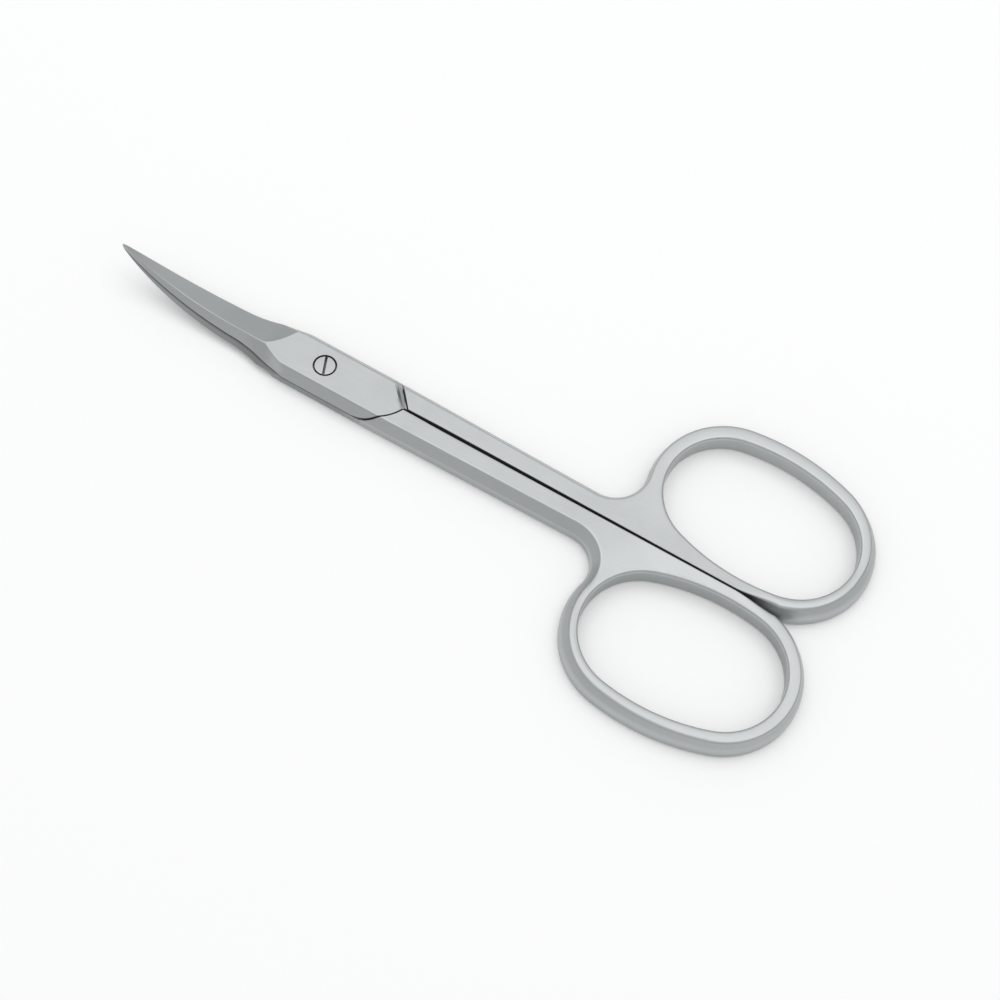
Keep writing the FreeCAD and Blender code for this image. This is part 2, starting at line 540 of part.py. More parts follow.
def build_screw(name):
    body = doc.addObject("PartDesign::Body", name)
    corners = [
        ("0", "0"),
        ("Sizes.stem_half", "0"),
        ("Sizes.stem_half", "Sizes.thickness - Sizes.head_deep"),
        ("Sizes.head_half", "Sizes.thickness - Sizes.head_deep"),
        ("Sizes.head_half", "Sizes.thickness - Sizes.head_chamfer"),
        ("Sizes.head_half - Sizes.head_chamfer", "Sizes.thickness"),
        ("0", "Sizes.thickness"),
    ]
    profile = polygon(body, f"{name}_profile", "XZ_Plane", Placement(), corners)
    turned = body.newObject("PartDesign::Revolution", f"{name}_turned")
    turned.Profile = profile
    turned.ReferenceAxis = (profile, ["V_Axis"])
    turned.Angle = 360
    body.Tip = turned
    doc.recompute()
    corners = [
        ("-2 * Sizes.head_half", "-Sizes.slot_wide / 2"),
        ("2 * Sizes.head_half", "-Sizes.slot_wide / 2"),
        ("2 * Sizes.head_half", "Sizes.slot_wide / 2"),
        ("-2 * Sizes.head_half", "Sizes.slot_wide / 2"),
    ]
    turn = Placement(Vector(), Rotation(Vector(0, 0, 1), size("slot_turn")))
    outline = polygon(body, f"{name}_slot_outline", "XY_Plane", turn, corners)
    outline.setExpression("AttachmentOffset.Base.z", "Sizes.thickness")
    outline.setExpression("AttachmentOffset.Rotation.Angle", "Sizes.slot_turn")
    slot = body.newObject("PartDesign::Pocket", f"{name}_slot")
    slot.Profile = outline
    slot.setExpression("Length", "Sizes.slot_deep")
    doc.recompute()
    return body


upper = build_half("upper_half", 1)
lower = build_half("lower_half", -1)
screw = build_screw("pivot_screw")
doc.recompute()
for item in doc.Objects:
    if "Invalid" in item.State or "Error" in item.State:
        raise RuntimeError(f"{item.Name} did not compute")
for body in (upper, lower, screw):
    if body.Shape.isNull() or not body.Shape.isValid() or len(body.Shape.Solids) != 1:
        raise RuntimeError(f"{body.Name} is not one sound solid")
    box = body.Shape.optimalBoundingBox(False)
    lengths = [round(length, 2) for length in (box.XLength, box.YLength, box.ZLength)]
    print(body.Label, round(body.Shape.Volume, 2), "mm3", lengths)
    body.Shape.exportStep(f"parts/{body.Label}.step")
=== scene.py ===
# %% [markdown]
# Small curved scissors for trimming cuticles, about nine centimetres long.
# Two forged steel halves cross at a slotted screw: each half runs from a finger ring,
# along a straight shank, through a half-thickness plate, into a slender blade that
# sweeps upwards. The imported solids could just be given a material, but their edges are
# crisper than ground steel, so each piece gets a skin of its own that replaces its solid.
# The imported frame is loaded first.

# %% Load the imported frame
import math
import bmesh
import bpy
import numpy as np
from mathutils import Matrix, Vector


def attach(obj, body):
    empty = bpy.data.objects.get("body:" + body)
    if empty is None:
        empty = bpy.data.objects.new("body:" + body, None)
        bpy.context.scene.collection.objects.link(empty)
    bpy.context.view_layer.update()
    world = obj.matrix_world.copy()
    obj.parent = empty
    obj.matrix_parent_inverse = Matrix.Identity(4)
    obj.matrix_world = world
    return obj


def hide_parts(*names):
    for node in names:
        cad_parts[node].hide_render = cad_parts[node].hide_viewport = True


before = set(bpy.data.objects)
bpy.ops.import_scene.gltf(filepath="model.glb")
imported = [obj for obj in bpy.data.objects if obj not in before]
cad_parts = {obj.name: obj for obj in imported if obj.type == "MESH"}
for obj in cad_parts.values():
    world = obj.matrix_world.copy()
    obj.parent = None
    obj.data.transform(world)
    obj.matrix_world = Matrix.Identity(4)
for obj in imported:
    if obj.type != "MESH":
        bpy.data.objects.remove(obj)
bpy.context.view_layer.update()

MM_PER_M = 1000.0

# %% [markdown]
# A drop forging is ground all over, so nearly every face is flat or part of a cylinder
# and every edge is broken a little. It could be box-modelled and bevelled, but its slopes
# change their width, so every surface here is a grid of points from a formula. Sizes are
# in millimetres, the pivot on the Z axis, the tips towards minus X. One half is worked
# out with its ring on the plus Y side; the other half mirrors it.

# %% Sizes shared by both halves
THICK = 2.6
MID = THICK / 2
GAP = 0.06  # half the clearance of the lap
DEEP = MID - GAP  # thickness of one half's plate
PLATE_HALF, BEVEL = 3.25, 0.9
SHANK_HALF, SHANK_REAR = 2.92, 34.0  # half width, and where along the shank it is measured
SLIT, STOP = 0.105, 0.045  # half the slit at the shoulder, and where the rings part
NOSE = np.array([5.44, -1.89])  # centre of the plate's rounded rear end
NOSE_OWN, NOSE_NEAR = 5.27, 5.09  # its radius at its own shank, and at the other half's shoulder
PLATE_FRONT, BLADE_ROOT, BLADE_REACH = -3.8, -7.1, -26.7
HOLE_LONG, HOLE_WIDE, SIDE_BULGE = 11.45, 7.72, 0.57  # half sizes of the finger hole
BAND, HOLLOW = 1.98, 3.75  # width of the ring's band, radius of the crotch
TILT, RING_X, REAR_Y = math.radians(-5.0), 50.2, 8.855  # lean and place of the finger hole
HOLE_END = HOLE_WIDE - SIDE_BULGE  # radius of the hole's end arcs
RING_C = HOLE_LONG - HOLE_END  # how far their centres lie from the hole's centre
RING_K = (RING_C ** 2 - SIDE_BULGE ** 2) / (2 * SIDE_BULGE)  # the same for the long arcs
RING = np.array([RING_X, REAR_Y - RING_C * math.sin(TILT)])
print("finger hole mm", 2 * HOLE_LONG, "by", 2 * HOLE_WIDE, "about", RING.round(2).tolist())

# %% [markdown]
# Grids of points need a few small tools: blends, rounded corners, arcs. Curve and bevel
# tools give similar shapes, but not the same number of points on every section, and that
# is what makes a clean grid.

# %% Helpers for rows of points
def lerp(a, b, t):
    """Straight blend: a where t is 0, b where t is 1."""
    return a + (b - a) * t


def ease(t):
    """Slow-fast-slow blend from 0 to 1: three t squared minus two t cubed, t held in 0 to 1."""
    t = np.clip(t, 0.0, 1.0)
    return t * t * (3.0 - 2.0 * t)


def pair(a, b):
    """Two equal-length rows of numbers side by side, as points."""
    return np.stack(np.broadcast_arrays(np.asarray(a, float), np.asarray(b, float)), -1)


def bend(before, corner, after, reach_in, reach_out, count):
    """Rounded corner: a parabola that leaves the first side reach_in before the corner and
    joins the second side reach_out after it. No reach takes more than 45% of its side."""
    back, ahead = before - corner, after - corner
    far_back = np.maximum(np.linalg.norm(back, axis=-1, keepdims=True), 1e-9)
    far_ahead = np.maximum(np.linalg.norm(ahead, axis=-1, keepdims=True), 1e-9)
    first = corner + back / far_back * np.minimum(np.asarray(reach_in)[..., None], 0.45 * far_back)
    last = corner + ahead / far_ahead * np.minimum(np.asarray(reach_out)[..., None], 0.45 * far_ahead)
    t = np.linspace(0.0, 1.0, count).reshape(-1, *[1] * corner.ndim)
    return (1 - t) ** 2 * first + 2 * t * (1 - t) * corner + t ** 2 * last


def between(a, b, shares):
    """Rows lying between row a and row b at the given shares of the way."""
    t = np.asarray(shares, float).reshape(-1, *[1] * a.ndim)
    return lerp(a, b, t)


def knotted(knots, counts):
    """Columns through a list of knots, with the given number of equal steps after each knot."""
    parts = [between(a, b, np.arange(n) / n) for a, b, n in zip(knots, knots[1:], counts)]
    return np.concatenate(parts + [knots[-1][None]]).T


def arc(centre, radius, start, stop, count):
    """Points on a circle from one angle up to, not at, the other, and their directions outwards."""
    turn = np.linspace(start, stop, count, endpoint=False)
    away = pair(np.cos(turn), np.sin(turn))
    return centre + radius * away, away


def rear_edge(y, radius):
    """x of the plate's rounded rear end, on a circle about NOSE, at distance y from the middle."""
    return NOSE[0] + np.sqrt(np.maximum(radius ** 2 - (y - NOSE[1]) ** 2, 0.0))


def standing(plan, height):
    """Points in space from plan points and heights."""
    return np.concatenate([plan, height[..., None]], -1)


print("a rounded corner", bend(pair(0, 1), pair(0, 0), pair(1, 0), 0.4, 0.4, 3).round(2).tolist())

# %% [markdown]
# Seen from above, the outside of a shank and its ring is one run of lines and arcs: the
# slit between the shanks, the rear end of the ring, its long side, its front end, the
# hollow where the ring leaves the shank. A drawn curve would need its handles placed by
# eye. Arcs whose centres lie on common lines meet without a kink by themselves.

# %% The plan of the handle
tip_line = np.array([math.cos(TILT), math.sin(TILT)])
rise_line = np.array([-math.sin(TILT), math.cos(TILT)])
REAR, FORE = RING + RING_C * tip_line, RING - RING_C * tip_line
HIGH, LOW = RING - RING_K * rise_line, RING + RING_K * rise_line
LONG_ARM = math.hypot(RING_C, RING_K)
END = HOLE_END + BAND
CORNER = np.array([rear_edge(PLATE_HALF, NOSE_OWN), PLATE_HALF])
ALONG = np.array([SHANK_REAR, SHANK_HALF]) - CORNER
ALONG = ALONG / np.linalg.norm(ALONG)
ACROSS = np.array([-ALONG[1], ALONG[0]])
base = CORNER + ACROSS * HOLLOW - FORE
dot = base @ ALONG
FOOT = CORNER + ALONG * (-dot - math.sqrt(dot ** 2 - base @ base + (END + HOLLOW) ** 2))
CROTCH = FOOT + ACROSS * HOLLOW
LEAVE = np.array([REAR[0] + math.sqrt(END ** 2 - (REAR[1] - STOP) ** 2), STOP])
RING_FROM = 51.5  # where the slit's wall starts to turn into the ring's


def heading(spot, centre):
    """Angle of a point as seen from a centre."""
    return math.atan2(spot[1] - centre[1], spot[0] - centre[0])


def slit_line(x):
    """Half width of the slit: a straight taper from the shoulder to where the rings part."""
    shoulder = rear_edge(SLIT, NOSE_OWN)
    return lerp(SLIT, STOP, (x - shoulder) / (LEAVE[0] - shoulder))


A_LEAVE, A_SIDE, A_FRONT = heading(LEAVE, REAR), heading(REAR, HIGH), heading(FORE, HIGH)
A_CROTCH = heading(CROTCH, FORE) % (2 * math.pi)
N_SLIT, N_REAR, N_SIDE, N_FRONT, N_HOLLOW = 46, 44, 28, 32, 26
slit_x = np.linspace(FOOT[0], LEAVE[0], N_SLIT, endpoint=False)
hollow_turn = np.linspace(heading(FORE, CROTCH), heading(FOOT, CROTCH), N_HOLLOW)
hollow_away = -pair(np.cos(hollow_turn), np.sin(hollow_turn))
runs = [
    (pair(slit_x, slit_line(slit_x)), pair(np.zeros(N_SLIT), -np.ones(N_SLIT))),
    arc(REAR, END, A_LEAVE, A_SIDE, N_REAR),
    arc(HIGH, END + LONG_ARM, A_SIDE, A_FRONT, N_SIDE),
    arc(FORE, END, A_FRONT, A_CROTCH, N_FRONT),
    (CROTCH - HOLLOW * hollow_away, hollow_away),
]
OUTLINE = np.concatenate([spots for spots, away in runs])
OUTWARD = np.concatenate([away for spots, away in runs])
ringness = np.concatenate([
    ease((slit_x - RING_FROM) / (LEAVE[0] - RING_FROM)),
    np.ones(N_REAR + N_SIDE + N_FRONT),
    1.0 - ease(np.linspace(0.0, 1.0, N_HOLLOW)),
])
print("outline points", len(OUTLINE), "crotch foot", FOOT.round(2).tolist(), "slit end", LEAVE[0].round(2))

# %% [markdown]
# Carried round that outline, the wall has one profile: a broken lower edge, an upright
# lower half, a soft line at half height, a sloping upper half and a broken top edge.
# A bevel modifier would give the slope one width. The real one is wide on the shank,
# almost nothing in the slit and ground by hand round the rings, so the profile's numbers
# change along the outline and differ a little between the halves.

# %% Wall profile
N_ROUND = 5
ROW_SHARES = np.array([0.04, 0.10, 0.12, 0.14, 0.355, 0.613, 0.94])
LAP_LOW = N_ROUND + len(ROW_SHARES)
LAP_HIGH = LAP_LOW + N_ROUND - 1
TOP_ROW = LAP_HIGH + len(ROW_SHARES) + N_ROUND
FACE_WAY = 2.0  # a point this far along a flat face shows its direction
SLIT_INSET, CROWN_HIGH = 0.03, 0.02
LOW_ROUNDS, MID_ROUNDS, TOP_ROUNDS = (0.1, 0.3, 0.3), (GAP, GAP, 0.5), (0.12, 0.14, 0.25)
RING_INSETS = {True: [0.75, 1.0, 0.45, 0.3, 0.4], False: [0.5, 0.575, 0.65, 0.85, 1.05]}
stations = np.cumsum([N_SLIT, N_REAR / 2, N_REAR / 2, N_SIDE, N_FRONT * 0.6])
on_slit = np.arange(len(OUTLINE)) < N_SLIT
CROWN = CROWN_HIGH * ringness


def wall_rows(inset, top, low_round, mid_round, top_round):
    """Profile of the outer wall from underside to top as (inset, height): upright to half
    height, then leaning in by inset up to top, with three rounded corners."""
    nil = np.zeros_like(inset)
    low, mid, high = pair(nil, nil), pair(nil, nil + MID), pair(inset, top)
    slant = np.hypot(inset, top - MID) / (top - MID)
    lower = bend(pair(nil + FACE_WAY, nil), low, mid, low_round, low_round, N_ROUND)
    middle = bend(low, mid, high, mid_round, mid_round * slant, N_ROUND)
    upper = bend(mid, high, pair(inset + FACE_WAY, top), top_round * slant, top_round, N_ROUND)
    wall = between(middle[0], lower[-1], ROW_SHARES)[::-1]
    slope = between(middle[-1], upper[0], ROW_SHARES)
    return np.concatenate([lower, wall, middle, slope, upper])


def blended(slit, shank, ring):
    """One number for every outline point: the slit's or the shank's, eased into the ring's."""
    return lerp(np.where(on_slit, slit, shank), ring, ringness)


def wall_profile(upper):
    """Profile at every outline point of one half."""
    ring_inset = np.interp(np.arange(len(OUTLINE)), stations, RING_INSETS[upper])
    rounds = [blended(*sizes) for sizes in (LOW_ROUNDS, MID_ROUNDS, TOP_ROUNDS)]
    return wall_rows(blended(SLIT_INSET, BEVEL, ring_inset), THICK - CROWN, *rounds)


def handle_wall(upper):
    """Outer wall of shank and ring: each outline point moved in by its profile's inset."""
    profile = wall_profile(upper)
    return standing(OUTLINE - OUTWARD * profile[..., :1], profile[..., 1])


walls = {upper: handle_wall(upper) for upper in (True, False)}
print("wall rows and columns", walls[True].shape[:2])

# %% [markdown]
# The nick is a shallow raking cut across the corner between plate and shank of the upper
# half, with a finer cut along its rear line. A boolean would leave thin triangles that
# shade badly. Here every point above the nick's surface is brought down to it, and the
# grids gather their columns on its lines to keep it crisp.

# %% The nick
NICK_REAR, NICK_RAKE = 10.9, 0.86
NICK_WIDE, NICK_WIDEN = 1.12, 0.07
NICK_SHALLOW, NICK_DEEP, NICK_SAW = 0.16, 0.6, 0.3
NICK_START, NICK_END = -0.06, PLATE_HALF + 0.2
NICK_CUT, NICK_FLOOR = 0.18, 0.6  # shares of the width where cut ends and slope starts


def nick_rear(y):
    """Rear line of the nick: straight in plan, further forward in step with the distance y."""
    return NICK_REAR - NICK_RAKE * y


def nick_wide(y):
    """Width of the nick along the tool, which grows a little outwards."""
    return NICK_WIDE + NICK_WIDEN * y


def nick_depth(x, y):
    """Depth of the nick: a floor that falls outwards, a slope up to its front line and a fine V
    along its rear line; zero beyond its two lines."""
    u = (nick_rear(y) - x) / nick_wide(y)
    floor = np.clip(np.minimum(u / NICK_CUT, (1.0 - u) / (1.0 - NICK_FLOOR)), 0.0, 1.0)
    saw = np.clip(1.0 - np.abs(2.0 * u / NICK_CUT - 1.0), 0.0, 1.0)
    deep = lerp(NICK_SHALLOW, NICK_DEEP, (y - NICK_START) / (NICK_END - NICK_START))
    return (deep * floor + NICK_SAW * saw) * (y > NICK_START)


def nicked(points):
    """Points of the upper half with everything above the nick's surface brought down to it."""
    x, y, z = np.moveaxis(points, -1, 0)
    depth = np.where(z > MID + GAP, nick_depth(x, y), 0.0)
    return np.stack([x, y, np.where(depth > 0.0, np.minimum(z, THICK - depth), z)], -1)


print("nick width", nick_wide(0.0), "depth", NICK_SHALLOW, "to", NICK_DEEP)

# %% [markdown]
# The shank starts at a rounded shoulder, where the other half's plate turns past it, and
# ends at the crotch. It could be one long box, but it has to meet plate and ring point for
# point, so its rows run straight from the shoulder's arc to the ring's first section.

# %% Shank rows
OWN_SHARES = np.array([
    0.025, 0.05, 0.075, 0.10, 0.11, 0.12, 0.13, 0.14, 0.2, 0.31, 0.42, 0.53, 0.64, 0.75, 0.87, 1.0,
])
N_OWN = len(OWN_SHARES)
UP_SHARES = np.concatenate([1.0 - OWN_SHARES[::-1], [1.0]])
SHANK_KNOTS, LEAST_STEP = (6, 2, 2, 34), 0.005


def shank_x(front, rear, y):
    """Columns from the shoulder to the crotch, with knots on the three lines of the nick's cut."""
    saw = nick_wide(y) * NICK_CUT
    first = np.maximum(nick_rear(y) - saw, front + LEAST_STEP)
    second = np.maximum(nick_rear(y) - saw / 2, first + LEAST_STEP)
    third = np.maximum(nick_rear(y), second + LEAST_STEP)
    return knotted([front, first, second, third, rear], SHANK_KNOTS)


def shank_rows(front_y, end_spots):
    """Straight rows from points on the shoulder arc at front_y to the given end points."""
    front_x = rear_edge(front_y, NOSE_OWN)
    x = shank_x(front_x, end_spots[:, 0], front_y)
    share = (x - front_x[:, None]) / (end_spots[:, 0] - front_x)[:, None]
    return np.stack([x, lerp(front_y[:, None], end_spots[:, 1][:, None], share)], -1)


slit_profile, side_profile = wall_profile(True)[:, 0], wall_profile(True)[:, -1]
slit_y, side_y = SLIT + slit_profile[:, 0], PLATE_HALF - side_profile[:, 0]
slit_end, side_end = walls[True][:, 0, :2], walls[True][:, -1, :2]
columns = sum(SHANK_KNOTS) + 1
slit_wall = standing(shank_rows(slit_y, slit_end), np.tile(slit_profile[:, 1:], columns))
side_wall = standing(shank_rows(side_y, side_end), np.tile(side_profile[:, 1:], columns))


def shank_face(row):
    """Flat face of the shank between the slit row and the side row of one height."""
    front = lerp(slit_y[row], side_y[row], UP_SHARES)
    end = lerp(slit_end[row], side_end[row], UP_SHARES[:, None])
    plan = shank_rows(front, end)
    return standing(plan, np.full(plan.shape[:2], lerp(slit_profile[row, 1], side_profile[row, 1], 0.5)))


shank_top, shank_under = shank_face(TOP_ROW), shank_face(0)
print("shank columns", columns, "top width mm", (side_y - slit_y)[TOP_ROW].round(2))

# %% [markdown]
# A finger ring has to be kind to the finger, so its hole is rounded over top and bottom
# and the band between is slightly crowned. A torus would be quick, but this ring is oval
# and grows out of the shank. The band is a sheet between two closed lines instead, the
# outline and the oval hole, which are paired point by point.

# %% Ring band and finger hole
TURN = math.atan2(RING_K, RING_C)
N_FINE, N_SHORT = 300, 60
CUT_A, CUT_B = 0.52, 0.58  # shares of the hole's inner side that the shank's end is paired with
HOLE_ROUND, UNDER_ROUND = 0.4, 0.3
BAND_SHARES = np.array([0.0, 0.06, 0.18, 0.34, 0.5, 0.66, 0.82, 0.94, 1.0])
fore_stop, rear_start = math.pi + TURN + TILT, TILT - TURN
passes = [
    arc(FORE, HOLE_END, A_CROTCH, fore_stop, N_FINE),
    arc(LOW, HOLE_END + LONG_ARM, fore_stop, 2 * math.pi - TURN + TILT, N_FINE),
    arc(REAR, HOLE_END, rear_start, A_LEAVE, N_SHORT),
]
inner_spots = np.concatenate([spots for spots, away in passes])
inner_away = np.concatenate([away for spots, away in passes])
travel = np.concatenate([[0.0], np.cumsum(np.linalg.norm(np.diff(inner_spots, axis=0), axis=1))])
travel = travel / travel[-1]
shares = np.concatenate([
    np.linspace(0.0, CUT_A, N_HOLLOW),
    np.linspace(CUT_A, CUT_B, N_OWN + 1)[1:-1],
    np.linspace(CUT_B, 1.0, N_SLIT, endpoint=False),
])


def along_inside(values):
    """Values read off the inner side of the hole at the chosen shares of its length."""
    return np.stack([np.interp(shares, travel, values[:, i]) for i in range(2)], -1)


shared_spots, shared_away = along_inside(inner_spots), along_inside(inner_away)
n_tail = N_HOLLOW + N_OWN - 1
arcs = slice(N_SLIT, N_SLIT + N_REAR + N_SIDE + N_FRONT)
arc_spots, arc_away = OUTLINE[arcs] - BAND * OUTWARD[arcs], OUTWARD[arcs]
hole_spots = np.concatenate([shared_spots[n_tail:], arc_spots, shared_spots[:n_tail]])
hole_away = np.concatenate([shared_away[n_tail:], arc_away, shared_away[:n_tail]])
hole_away = hole_away / np.linalg.norm(hole_away, axis=1, keepdims=True)
loop_ring = np.concatenate([ringness, np.zeros(N_OWN - 1)])
loop_crown = np.concatenate([CROWN, np.zeros(N_OWN - 1)])
cut_top, cut_under = shank_top[-2:0:-1, -1], shank_under[-2:0:-1, -1]
nil = np.zeros(len(hole_spots))
roof = THICK - loop_crown
over, under = nil + HOLE_ROUND, nil + UNDER_ROUND
hole_profile = np.concatenate([
    bend(pair(nil + FACE_WAY, roof), pair(nil, roof), pair(nil, nil), over, over, 7),
    between(pair(nil, roof - HOLE_ROUND), pair(nil, under), [0.05, 0.35, 0.65, 0.95]),
    bend(pair(nil, roof), pair(nil, nil), pair(nil + FACE_WAY, nil), under, under, N_ROUND),
])
hole_wall = standing(hole_spots + hole_away * hole_profile[..., :1], hole_profile[..., 1])


def ring_band(wall):
    """Top and underside of the ring: straight from the wall's rim to the hole's rim, the top
    raised by a low parabola in between."""
    top = between(np.concatenate([wall[TOP_ROW], cut_top]), hole_wall[0], BAND_SHARES)
    top[..., 2] += loop_crown * (1.0 - (2.0 * BAND_SHARES[:, None] - 1.0) ** 2)
    return top, between(hole_wall[-1], np.concatenate([wall[0], cut_under]), BAND_SHARES)


print("ring band rows and columns", ring_band(walls[True])[0].shape[:2])

# %% [markdown]
# Ahead of the shoulder each half is ground down to just under half thickness, so that the
# two can lap: a flat plate round the screw, then the blade. Cutting a thick model in two
# would leave ragged edges along the lap. A cross-section of plate and blade is one closed
# loop of rows instead: own side, outer face, far side, lap face.

# %% Rows of the plate section
FACET_PARTS, BACK_PARTS = (0.25, 0.55, 0.93), (0.25, 0.5, 0.75)
NEAR_PARTS = np.array([0.11, 0.22, 0.33, 0.44, 0.55, 0.66, 0.77, 0.88, 0.97])
N_NEAR, N_SPREAD = len(NEAR_PARTS), 12
N_SIDEROWS = TOP_ROW - LAP_HIGH + 1
SIDE_END = N_SIDEROWS - N_ROUND  # last row of the side before its rounded edge
RUN_ROWS = len(BACK_PARTS) + N_ROUND  # rows of the face that the ridge starts from
SLIT_ROW = N_SIDEROWS + N_OWN - 1
BACK_ROW = SLIT_ROW + N_NEAR + N_SIDEROWS
SLIT_LAP = BACK_ROW + N_SPREAD + N_NEAR + 1
N_LOOP = SLIT_LAP + N_OWN


def plate_rows(upper):
    """Numbers of the wall rows beside the plate, from its lap face to its outer face."""
    return np.arange(LAP_HIGH, TOP_ROW + 1) if upper else np.arange(LAP_LOW, -1, -1)


def plate_side(upper):
    """Rows of the plate's own side as (y, height above the lap face), read off the shank's wall
    so that the two meet row for row."""
    rows = plate_rows(upper)
    height = side_profile[rows, 1] - MID
    return pair(side_y[rows], (height if upper else -height) - GAP)


def plate_loop(upper):
    """Section of the plate: own side, outer face, far side as its mirror image, lap face. Returns
    the loop of (y, height) and the shares used along top and lap."""
    own = plate_side(upper)
    lap, row = plate_rows(upper)[[0, -1]]
    face_y = lerp(own[-1, 0], slit_y[row], OWN_SHARES)
    far = own * [-1.0, 1.0]
    far[0, 0] = -PLATE_HALF
    near_y = lerp(slit_y[row], far[-1, 0], NEAR_PARTS)
    spread_y = lerp(far[0, 0], near_y[-1], np.arange(1, N_SPREAD + 1) / (N_SPREAD + 1))
    lap_y = np.concatenate([spread_y, near_y[::-1], lerp(slit_y[lap], own[0, 0], UP_SHARES[:-1])])
    loop = np.concatenate([
        own, pair(face_y, DEEP), pair(near_y, DEEP), far[::-1], pair(lap_y, 0.0),
    ])
    top_y, top_start = np.concatenate([face_y[RUN_ROWS:], near_y]), face_y[RUN_ROWS - 1]
    top_parts = (top_y - top_start) / (far[-1, 0] - top_start)
    lap_parts = (lap_y - far[0, 0]) / (own[0, 0] - far[0, 0])
    return loop, top_parts, lap_parts


print("plate section rows", len(plate_loop(True)[0]), "of", N_LOOP)

# %% [markdown]
# Towards the tip the blade narrows to a point, thins, and sweeps up on a big radius. The
# wide facet is ground from the ridge to the cutting edge; the narrow one falls to the
# back. Where the flat plate runs out into these facets, two curved borders meet at the
# foot of the ridge. Sculpting would blur these lines. Seven corner points steer the
# section instead, each a formula of the place along the blade.

# %% Corner points of the blade
FLAT_REACH, BEND_RADIUS = 11.0, 36.0
TIP_HALF, BLADE_HALF, ROOT_FLARE, FLARE_SHARE = 0.1, 1.75, 0.6, 0.2
TAPER_POWER, TAPER_FULL = 1.8, 0.8
TIP_THICK, RIDGE_POWER = 0.24, 0.7
EDGE_ROOT, EDGE_TIP, BACK_THICK = 0.38, 0.12, 0.12
RIDGE_ROOT, RIDGE_SHARE, RIDGE_RUN = 1.1, 0.58, 0.18
CREST_TIP, CREST_MORE = 0.01, 0.035  # half the width of the flat that is left on the ridge
EDGE_LIP, LIP_BACK = 0.62, 0.25  # overhang of the lower edge, and its share at the back
LAP_DRAWN, STRIP_DROP = 0.06, 0.2  # set-back and slope of the lower blade's visible strip
RUN_FAR, RUN_NEAR, RUN_LONG = -4.9, -4.4, 2.7  # where the plate's face starts to run out
FAR_POWER, NEAR_POWER = 1.7, 1.3
CLIMB_START, CLIMB_LONG, CLIMB_POWER = 0.03, 2.2, 1.4  # climb of the facet's border
FIRST_SHARE = 0.12


def rise(x, y):
    """Upward sweep: flat near the pivot, then an arc of the bend radius."""
    out = np.maximum(np.hypot(x, y) - FLAT_REACH, 0.0)
    return BEND_RADIUS - np.sqrt(BEND_RADIUS ** 2 - out ** 2)


def blade_corners(x, upper):
    """Seven corners for each station x of the blade and the run-out, as (y, height): lap front,
    cutting edge, border of the facet, ridge (two), back edge, lap back. The half width falls
    as one minus the share to a power; the run-out blends these with the plate's corners."""
    p = np.clip((BLADE_ROOT - x) / (BLADE_ROOT - BLADE_REACH), 0.0, 1.0)
    flare = ROOT_FLARE * np.maximum(0, 1 - p / FLARE_SHARE) ** 2
    half = TIP_HALF + BLADE_HALF * (1 - p ** TAPER_POWER) ** TAPER_FULL + flare
    lip = 0.0 if upper else EDGE_LIP * (1 - p ** 3)
    spine = half - LIP_BACK * lip
    tall = lerp(TIP_THICK, MID, (1 - p) ** RIDGE_POWER) - GAP
    edge = lerp(EDGE_ROOT, EDGE_TIP, p) - GAP
    pull = RIDGE_SHARE * (TIP_HALF + BLADE_HALF + ROOT_FLARE) - RIDGE_ROOT
    ridge = RIDGE_SHARE * half - pull * np.maximum(0, 1 - p / RIDGE_RUN) ** 2
    crest = CREST_TIP + CREST_MORE * (1 - ease((p - 0.5) / 0.4))
    own = plate_side(upper)
    face = PLATE_HALF - BEVEL if upper else own[SIDE_END, 0]
    first = lerp(own[0], own[SIDE_END], FIRST_SHARE)
    start = lerp(own[-1, 0], slit_y[plate_rows(upper)[-1]], FIRST_SHARE)
    q = np.clip((PLATE_FRONT - x) / (PLATE_FRONT - BLADE_ROOT), 0.0, 1.0)
    q_far = np.clip((RUN_FAR - x) / RUN_LONG, 0.0, 1.0)
    q_near = np.clip((RUN_NEAR - x) / RUN_LONG, 0.0, 1.0)
    drop = 0.0 if upper else STRIP_DROP * (1 - p)
    lap_front = pair(lerp(own[0, 0], half - (0.0 if upper else LAP_DRAWN), q), 0.0)
    cutting = pair(lerp(first[0], half + lip, q), lerp(first[1], edge + drop, q))
    climb = lerp(CLIMB_START, 1.0, np.clip((x - BLADE_ROOT) / CLIMB_LONG, 0.0, 1.0) ** CLIMB_POWER)
    reach = climb * (tall - cutting[:, 1]) / (DEEP - first[1])
    border = cutting + reach[:, None] * (np.array([face, DEEP]) - first)
    ridge_own = pair(lerp(start, crest - ridge, 1 - (1 - q_far) ** FAR_POWER), tall)
    ridge_back = pair(lerp(-face, -ridge - crest, q_near ** NEAR_POWER), tall)
    back_edge = pair(lerp(-first[0], -spine, q), lerp(first[1], BACK_THICK - GAP, q))
    lap_back = pair(lerp(-PLATE_HALF, -spine, q), 0.0)
    return [lap_front, cutting, border, ridge_own, ridge_back, back_edge, lap_back], q, q_far


root_corners = np.concatenate(blade_corners(np.array([BLADE_ROOT]), True)[0])
print("corner points at the root", root_corners.round(2).tolist())

# %% [markdown]
# Steel edges are never perfectly sharp: each corner is rounded over by a few hundredths of
# a millimetre, and by more where the plate's soft edges run out. After a bevel modifier
# the rows of blade and plate would no longer agree, so the roundings are rows themselves.

# %% Rows of the blade section
PLATE_ROUNDS = {True: (0.17, 0.14), False: (0.3, 0.3)}
EDGE_ROUND, FACE_ROUND, BORDER_ROUND, BACK_ROUND, RIDGE_ROUND = 0.03, 0.04, 0.05, 0.06, 0.08
N_EDGE = 3


